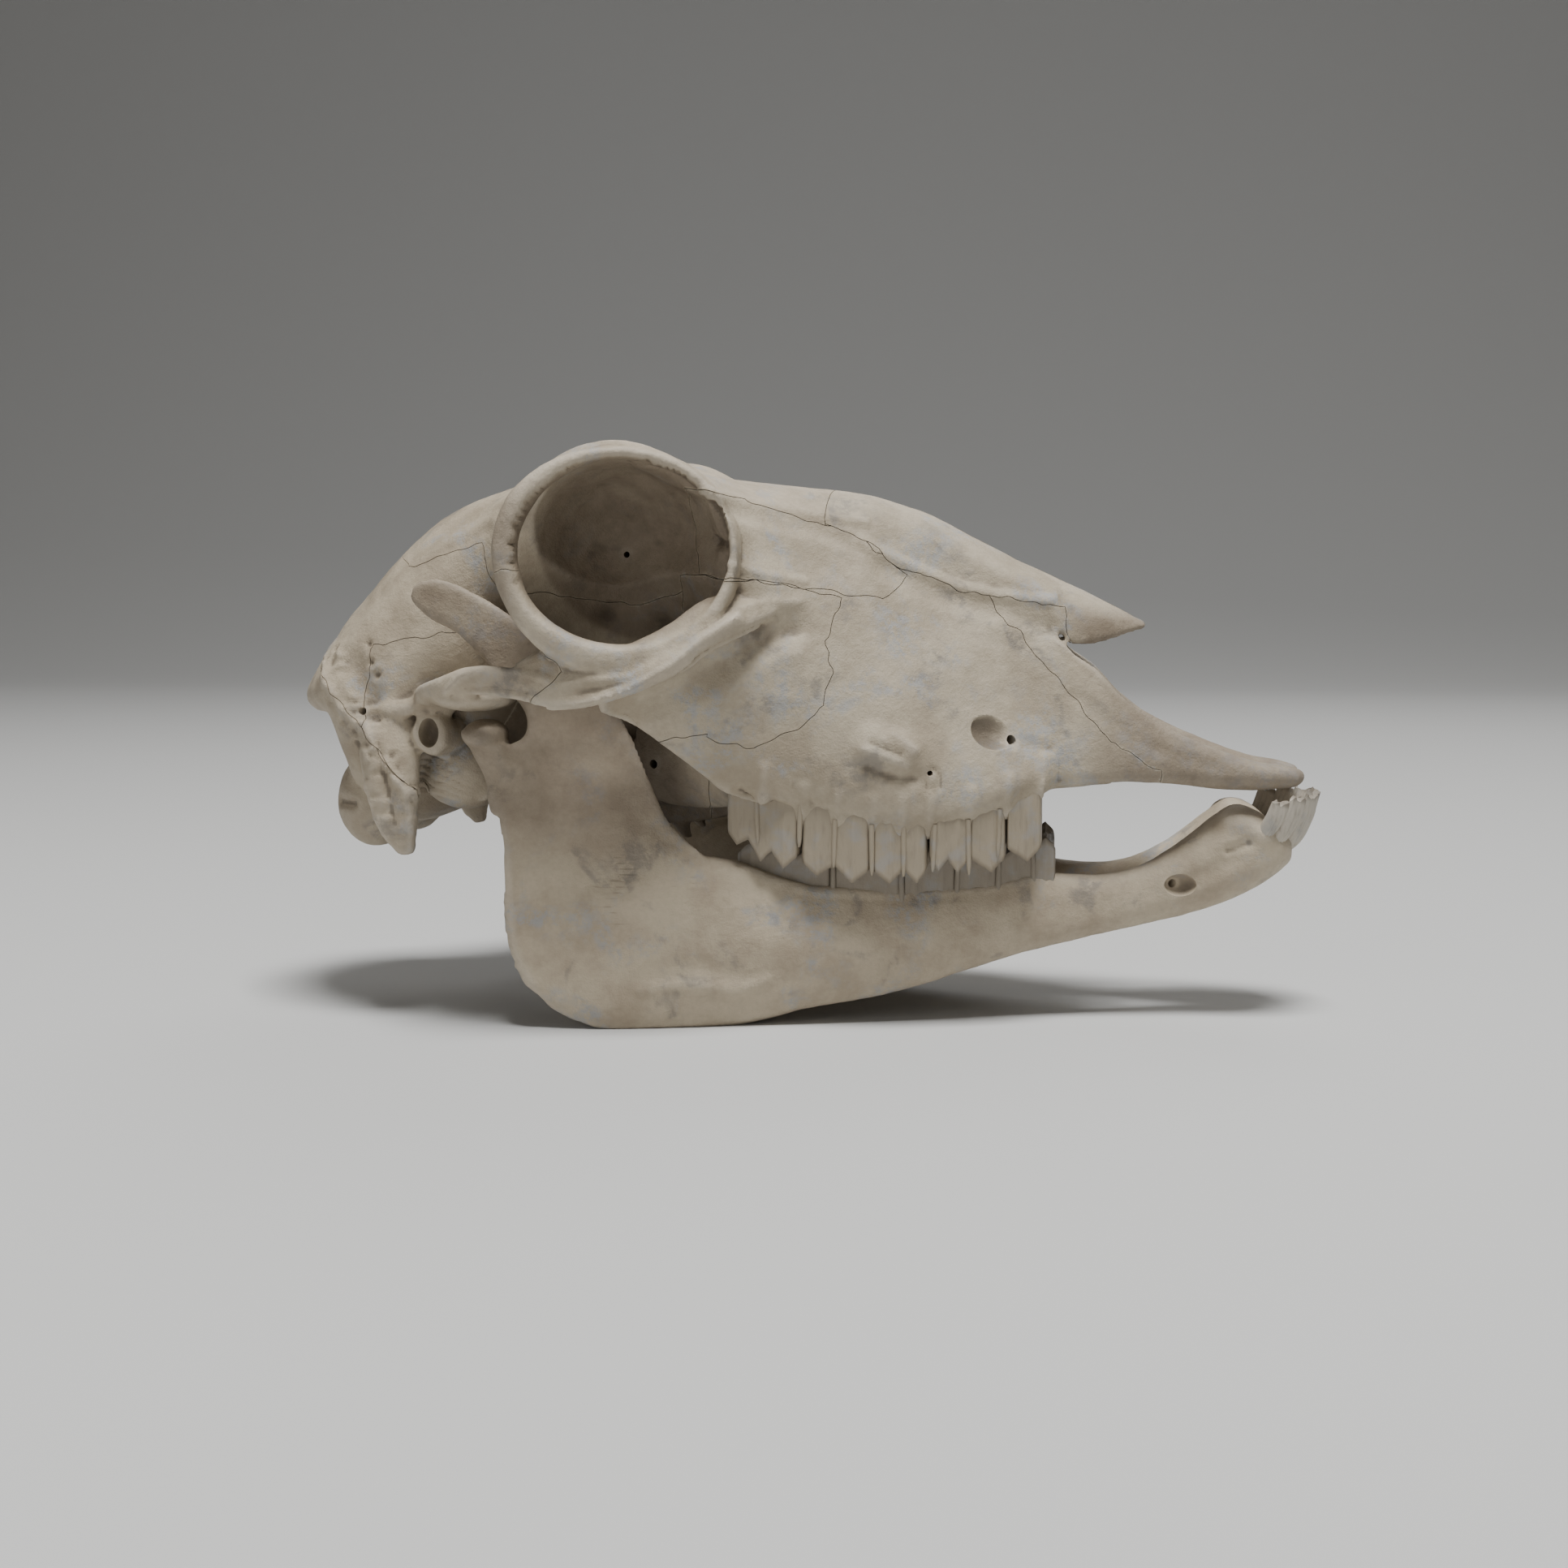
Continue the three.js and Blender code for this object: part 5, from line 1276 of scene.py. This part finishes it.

# %% [markdown]
# ## Paint
# Weathered bone is nearly one colour, yet never flat: warm grey-tan with mottled patches of blue-grey where
# it lay. The eye sockets, the nose, the underside and a few faces are painted browner and darker as painted
# shade, the hollows are painted darker, partly for dirt and partly as painted shade, and broad crests are
# painted paler. A node tree is easier to read as a formula, so one small class lets sockets be added and
# multiplied like numbers.

# %% Node formulas
class Wire:
    """A socket of a node tree that can stand in a formula."""

    def __init__(self, socket):
        self.socket = socket

    def node(self, kind, settings, sockets, output=0):
        """Any other node: its type, its settings, and what its sockets hold or get."""
        made = self.socket.id_data.nodes.new(kind)
        for name, value in settings.items():
            setattr(made, name, value)
        for name, value in sockets.items():
            if isinstance(value, Wire):
                self.socket.id_data.links.new(value.socket, made.inputs[name])
            else:
                made.inputs[name].default_value = value
        return Wire(made.outputs[output])

    def maths(self, operation, first, second):
        """A Math node for values, and a Vector Math node where a colour or a place takes part."""
        wide = any(
            v.socket.type != "VALUE" if isinstance(v, Wire) else isinstance(v, tuple)
            for v in (first, second)
        )
        if wide:
            first, second = ((v, v, v) if isinstance(v, (int, float)) else v for v in (first, second))
        kind = "ShaderNodeVectorMath" if wide else "ShaderNodeMath"
        return self.node(kind, {"operation": operation}, {0: first, 1: second})

    def __add__(self, other):
        return self.maths("ADD", self, other)

    def __sub__(self, other):
        return self.maths("SUBTRACT", self, other)

    def __mul__(self, other):
        return self.maths("MULTIPLY", self, other)

    def __radd__(self, other):
        return self.maths("ADD", other, self)

    def __rsub__(self, other):
        return self.maths("SUBTRACT", other, self)

    def __rmul__(self, other):
        return self.maths("MULTIPLY", other, self)

    def ramp(self, low, high):
        """0 below low, 1 above high, and a soft slope between them."""
        return self.node("ShaderNodeMapRange", {"interpolation_type": "SMOOTHSTEP"},
                         {"Value": self, "From Min": low, "From Max": high})

    def mixed(self, colour, share):
        """This colour turned into another, all the way where share is 1."""
        return self.node("ShaderNodeMix", {"data_type": "RGBA"}, {0: share, 6: self, 7: colour}, 2)

    def spots(self, size, detail=3, rough=0.55, warp=0.0):
        """Cloudy noise between 0 and 1 over a place in millimetres, with lumps of about this size."""
        return self.node("ShaderNodeTexNoise", {}, {
            "Vector": self, "Scale": 1 / size, "Detail": detail, "Roughness": rough, "Distortion": warp,
        })


def paint_tree(name):
    """A material, its shader, the place on the object in millimetres, and a reader of the skin's marks."""
    material = bpy.data.materials.new(name)
    material.use_nodes = True
    tree = material.node_tree
    shader = tree.nodes["Principled BSDF"]
    place = Wire(tree.nodes.new("ShaderNodeTexCoord").outputs["Object"]) * 1000.0

    def mark(attribute):
        return place.node("ShaderNodeAttribute", {"attribute_name": attribute}, {}, "Fac")

    def finish(colour, roughness, height, depth):
        tree.links.new(colour.socket, shader.inputs["Base Color"])
        tree.links.new(roughness.socket, shader.inputs["Roughness"])
        settings = {"Height": height, "Distance": depth * MM, "Strength": 1.0}
        bump = height.node("ShaderNodeBump", {}, settings, "Normal")
        tree.links.new(bump.socket, shader.inputs["Normal"])
        shader.inputs["Specular IOR Level"].default_value = 0.3
        return material

    return place, mark, finish


# %% Bone paint
def bone_paint(name, tan, dark, blue_share):
    place, mark, finish = paint_tree(name)
    fine, broad, inside = mark("fine"), mark("broad"), mark("inside")
    mottle = place.spots(14, 5, 0.6).ramp(0.38, 0.64)
    grain = place.spots(1.1, 2)
    colour = place.node("ShaderNodeRGB", {}, {})
    colour.socket.default_value = (*tan, 1)
    colour = colour.mixed((*dark, 1), mottle * 0.8)
    # paler where the skin is broadly raised
    colour = colour.mixed((0.57, 0.51, 0.42, 1), (0.0 - broad).ramp(0.15, 0.9) * 0.4)
    blue = place.spots(17, 3, 0.55, 0.6).ramp(0.95 - blue_share, 1.09 - blue_share)
    blue = blue * place.spots(2.6, 5, 0.75).ramp(0.42, 0.6)
    colour = colour.mixed((0.325, 0.34, 0.355, 1), blue * 0.7)
    smoke = (place + (31.0, 7.0, 12.0)).spots(12, 3, 0.6, 0.5).ramp(0.56, 0.68)
    smoke = smoke * place.spots(3.4, 4, 0.7).ramp(0.4, 0.58)
    colour = colour.mixed((0.16, 0.155, 0.15, 1), smoke * 0.5)
    # painted shade: browner and darker in the eye sockets, the nose, under the skull, on the low front of the
    # face, the back of the eye rings and the jaw's upright plate
    colour = colour.mixed((0.18, 0.14, 0.1, 1), inside * (0.3 + 0.8 * place.spots(6, 4, 0.7)))
    # darker in broad and fine hollows: partly dirt, partly painted shade
    colour = colour.mixed((0.13, 0.1, 0.07, 1), broad.ramp(0.2, 1) * 0.55)
    colour = colour.mixed((0.09, 0.07, 0.05, 1), fine.ramp(0.3, 1.2) * 0.6)
    colour = colour * (0.9 + 0.2 * grain)
    height = place.spots(0.9, 3, 0.6) + 0.6 * place.spots(0.35, 2) + 1.3 * place.spots(3.2, 2)
    return finish(colour, 0.5 + 0.22 * place.spots(6, 3), height, 0.16)


PAINTS = {
    "braincase_bone": bone_paint("braincase_bone", (0.44, 0.375, 0.28), (0.31, 0.255, 0.185), 0.4),
    "face_bone": bone_paint("face_bone", (0.45, 0.39, 0.295), (0.33, 0.275, 0.2), 0.46),
    # the jaw's paint is a little paler than the rest: painted light for the jaw's upright sides, which the
    # high lamp lights only glancingly
    "jaw_bone": bone_paint("jaw_bone", (0.48, 0.41, 0.305), (0.36, 0.295, 0.215), 0.43),
}

# %% [markdown]
# Enamel is smoother than bone. It is stained grey-brown in the flutes and dark along the worn edge, and its
# fine hollows are painted darker, partly dirt and partly painted shade. The lower teeth get a darker copy of
# the paint as painted shade, for they stand in the shadow of the upper ones.

# %% Tooth paint
def tooth_paint(name, pale):
    place, mark, finish = paint_tree(name)
    streaks = (place * (1.0, 1.0, 0.18)).spots(0.9, 3)
    colour = place.node("ShaderNodeRGB", {}, {})
    colour.socket.default_value = (*pale, 1)
    colour = colour.mixed((0.24, 0.2, 0.155, 1), streaks.ramp(0.5, 0.75) * 0.5)
    colour = colour.mixed((0.3, 0.31, 0.32, 1), place.spots(5, 3).ramp(0.5, 0.7) * 0.4)
    colour = colour.mixed((0.1, 0.075, 0.05, 1), mark("bite").ramp(0.72, 1.0) * 0.55)
    # darker in fine hollows: partly dirt, partly painted shade
    colour = colour.mixed((0.08, 0.06, 0.045, 1), mark("fine").ramp(0.1, 0.8) * 0.7)
    height = streaks + 0.4 * place.spots(0.4, 2)
    return finish(colour, 0.42 + 0.2 * place.spots(2, 2), height, 0.12)


ENAMEL = tooth_paint("tooth_enamel", (0.34, 0.29, 0.215))
# painted shade: the lower teeth get a darker copy of the enamel, as they stand in the shadow of the upper
# teeth
SHADED_LOWER_ENAMEL = tooth_paint("shaded_lower_enamel", (0.27, 0.235, 0.185))
FRONT_ENAMEL = tooth_paint("front_enamel", (0.52, 0.475, 0.4))

# %% [markdown]
# ## Set in the frame
# The drawing in millimetres becomes metres, with the middle of the skull's length over the frame's origin.
# Each bone stands for the solid of the same name, and each row of teeth for the bone that it grows from.

# %% Put in place
def placed(obj, node, slot, paint):
    mesh = obj.data
    places = (numbers(mesh.vertices, "co") - (CENTRE_X, 0, 0)) * MM
    places[:, 2] = np.maximum(places[:, 2], 0)  # the lumps under the jaw end level with the floor
    mesh.vertices.foreach_set("co", places.astype(np.float32).ravel())
    mesh.polygons.foreach_set("use_smooth", np.ones(len(mesh.polygons), bool))
    mesh.set_sharp_from_angle(angle=math.radians(50))
    mesh.materials.clear()
    mesh.materials.append(paint)
    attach(obj, "root")
    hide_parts(node)
    return sum(len(face.vertices) - 2 for face in mesh.polygons)


BRAIN_BONES = ("frontal", "parietal", "occipital", "temporal", "sphenoid")
total = 0
for name, bone in bones.items():
    slot = "jaw_bone" if name.startswith("mandible") else "face_bone"
    if name.startswith(BRAIN_BONES):
        slot = "braincase_bone"
    count = placed(bone, name, slot, PAINTS[slot])
    total += count
    print(f"{name}: {count} triangles")


for side in ("left", "right"):
    for name, parts, node, slot, paint in (
        ("upper_cheek_teeth", upper_row, "maxilla", "face_bone", ENAMEL),
        ("lower_cheek_teeth", lower_row, "mandible", "jaw_bone", SHADED_LOWER_ENAMEL),
        ("front_teeth", incisors, "mandible", "jaw_bone", FRONT_ENAMEL),
    ):
        row = gathered(f"{name}_{side}", parts, far_side=side == "right")
        mark_skin(row)
        total += placed(row, f"{node}_{side}", slot, paint)
dropped(*upper_row, *lower_row, *incisors)
print("triangles in all", total)

# %% [markdown]
# ## Floor and light
# The pale floor curves up into the wall behind, so that no edge shows. A large lamp high on the camera's side
# gives the soft modelling, and two weaker ones keep the shadows open.

# %% Floor and light
FLOOR_HALF = 3  # metres, like all that stands round the skull
WALL_HEIGHT = 3
FLOOR_CURVE = 1.6
bm = bmesh.new()
bmesh.ops.create_grid(bm, x_segments=1, y_segments=1, size=FLOOR_HALF)
back_edge = [e for e in bm.edges if all(v.co.y > 0.9 * FLOOR_HALF for v in e.verts)]
raised = bmesh.ops.extrude_edge_only(bm, edges=back_edge)
top = [v for v in raised["geom"] if isinstance(v, bmesh.types.BMVert)]
bmesh.ops.translate(bm, vec=(0, 0, WALL_HEIGHT), verts=top)
bmesh.ops.bevel(bm, geom=back_edge, offset=FLOOR_CURVE, offset_type="OFFSET", segments=24, profile=0.5,
                affect="EDGES", material=-1)
floor = new_object("floor", bm)
floor.data.polygons.foreach_set("use_smooth", np.ones(len(floor.data.polygons), bool))
floor_paint = bpy.data.materials.new("floor_paint")
floor_paint.use_nodes = True
floor_shader = floor_paint.node_tree.nodes["Principled BSDF"]
floor_shader.inputs["Base Color"].default_value = (0.56, 0.56, 0.55, 1)
floor_shader.inputs["Roughness"].default_value = 0.9
floor.data.materials.append(floor_paint)


LAMP_AIM = Vector((0, 0, 0.05))  # the middle of the skull's height


def lamp(name, place, size, power):
    data = bpy.data.lights.new(name, "AREA")
    data.size = size
    data.energy = power
    light = bpy.data.objects.new(name, data)
    light.location = place
    light.rotation_euler = (Vector(place) - LAMP_AIM).to_track_quat("Z", "Y").to_euler()
    bpy.context.collection.objects.link(light)


lamp("key", (0.15, -0.34, 1.5), 0.45, 33)
lamp("fill", (-0.5, -1.1, 0.3), 1.0, 2.2)
lamp("back", (0.2, 1.0, 1.0), 0.8, 4)
world = bpy.data.worlds.new("room")
world.use_nodes = True
background = world.node_tree.nodes["Background"]
background.inputs["Color"].default_value = (0.8, 0.78, 0.75, 1)
background.inputs["Strength"].default_value = 0.16
bpy.context.scene.world = world
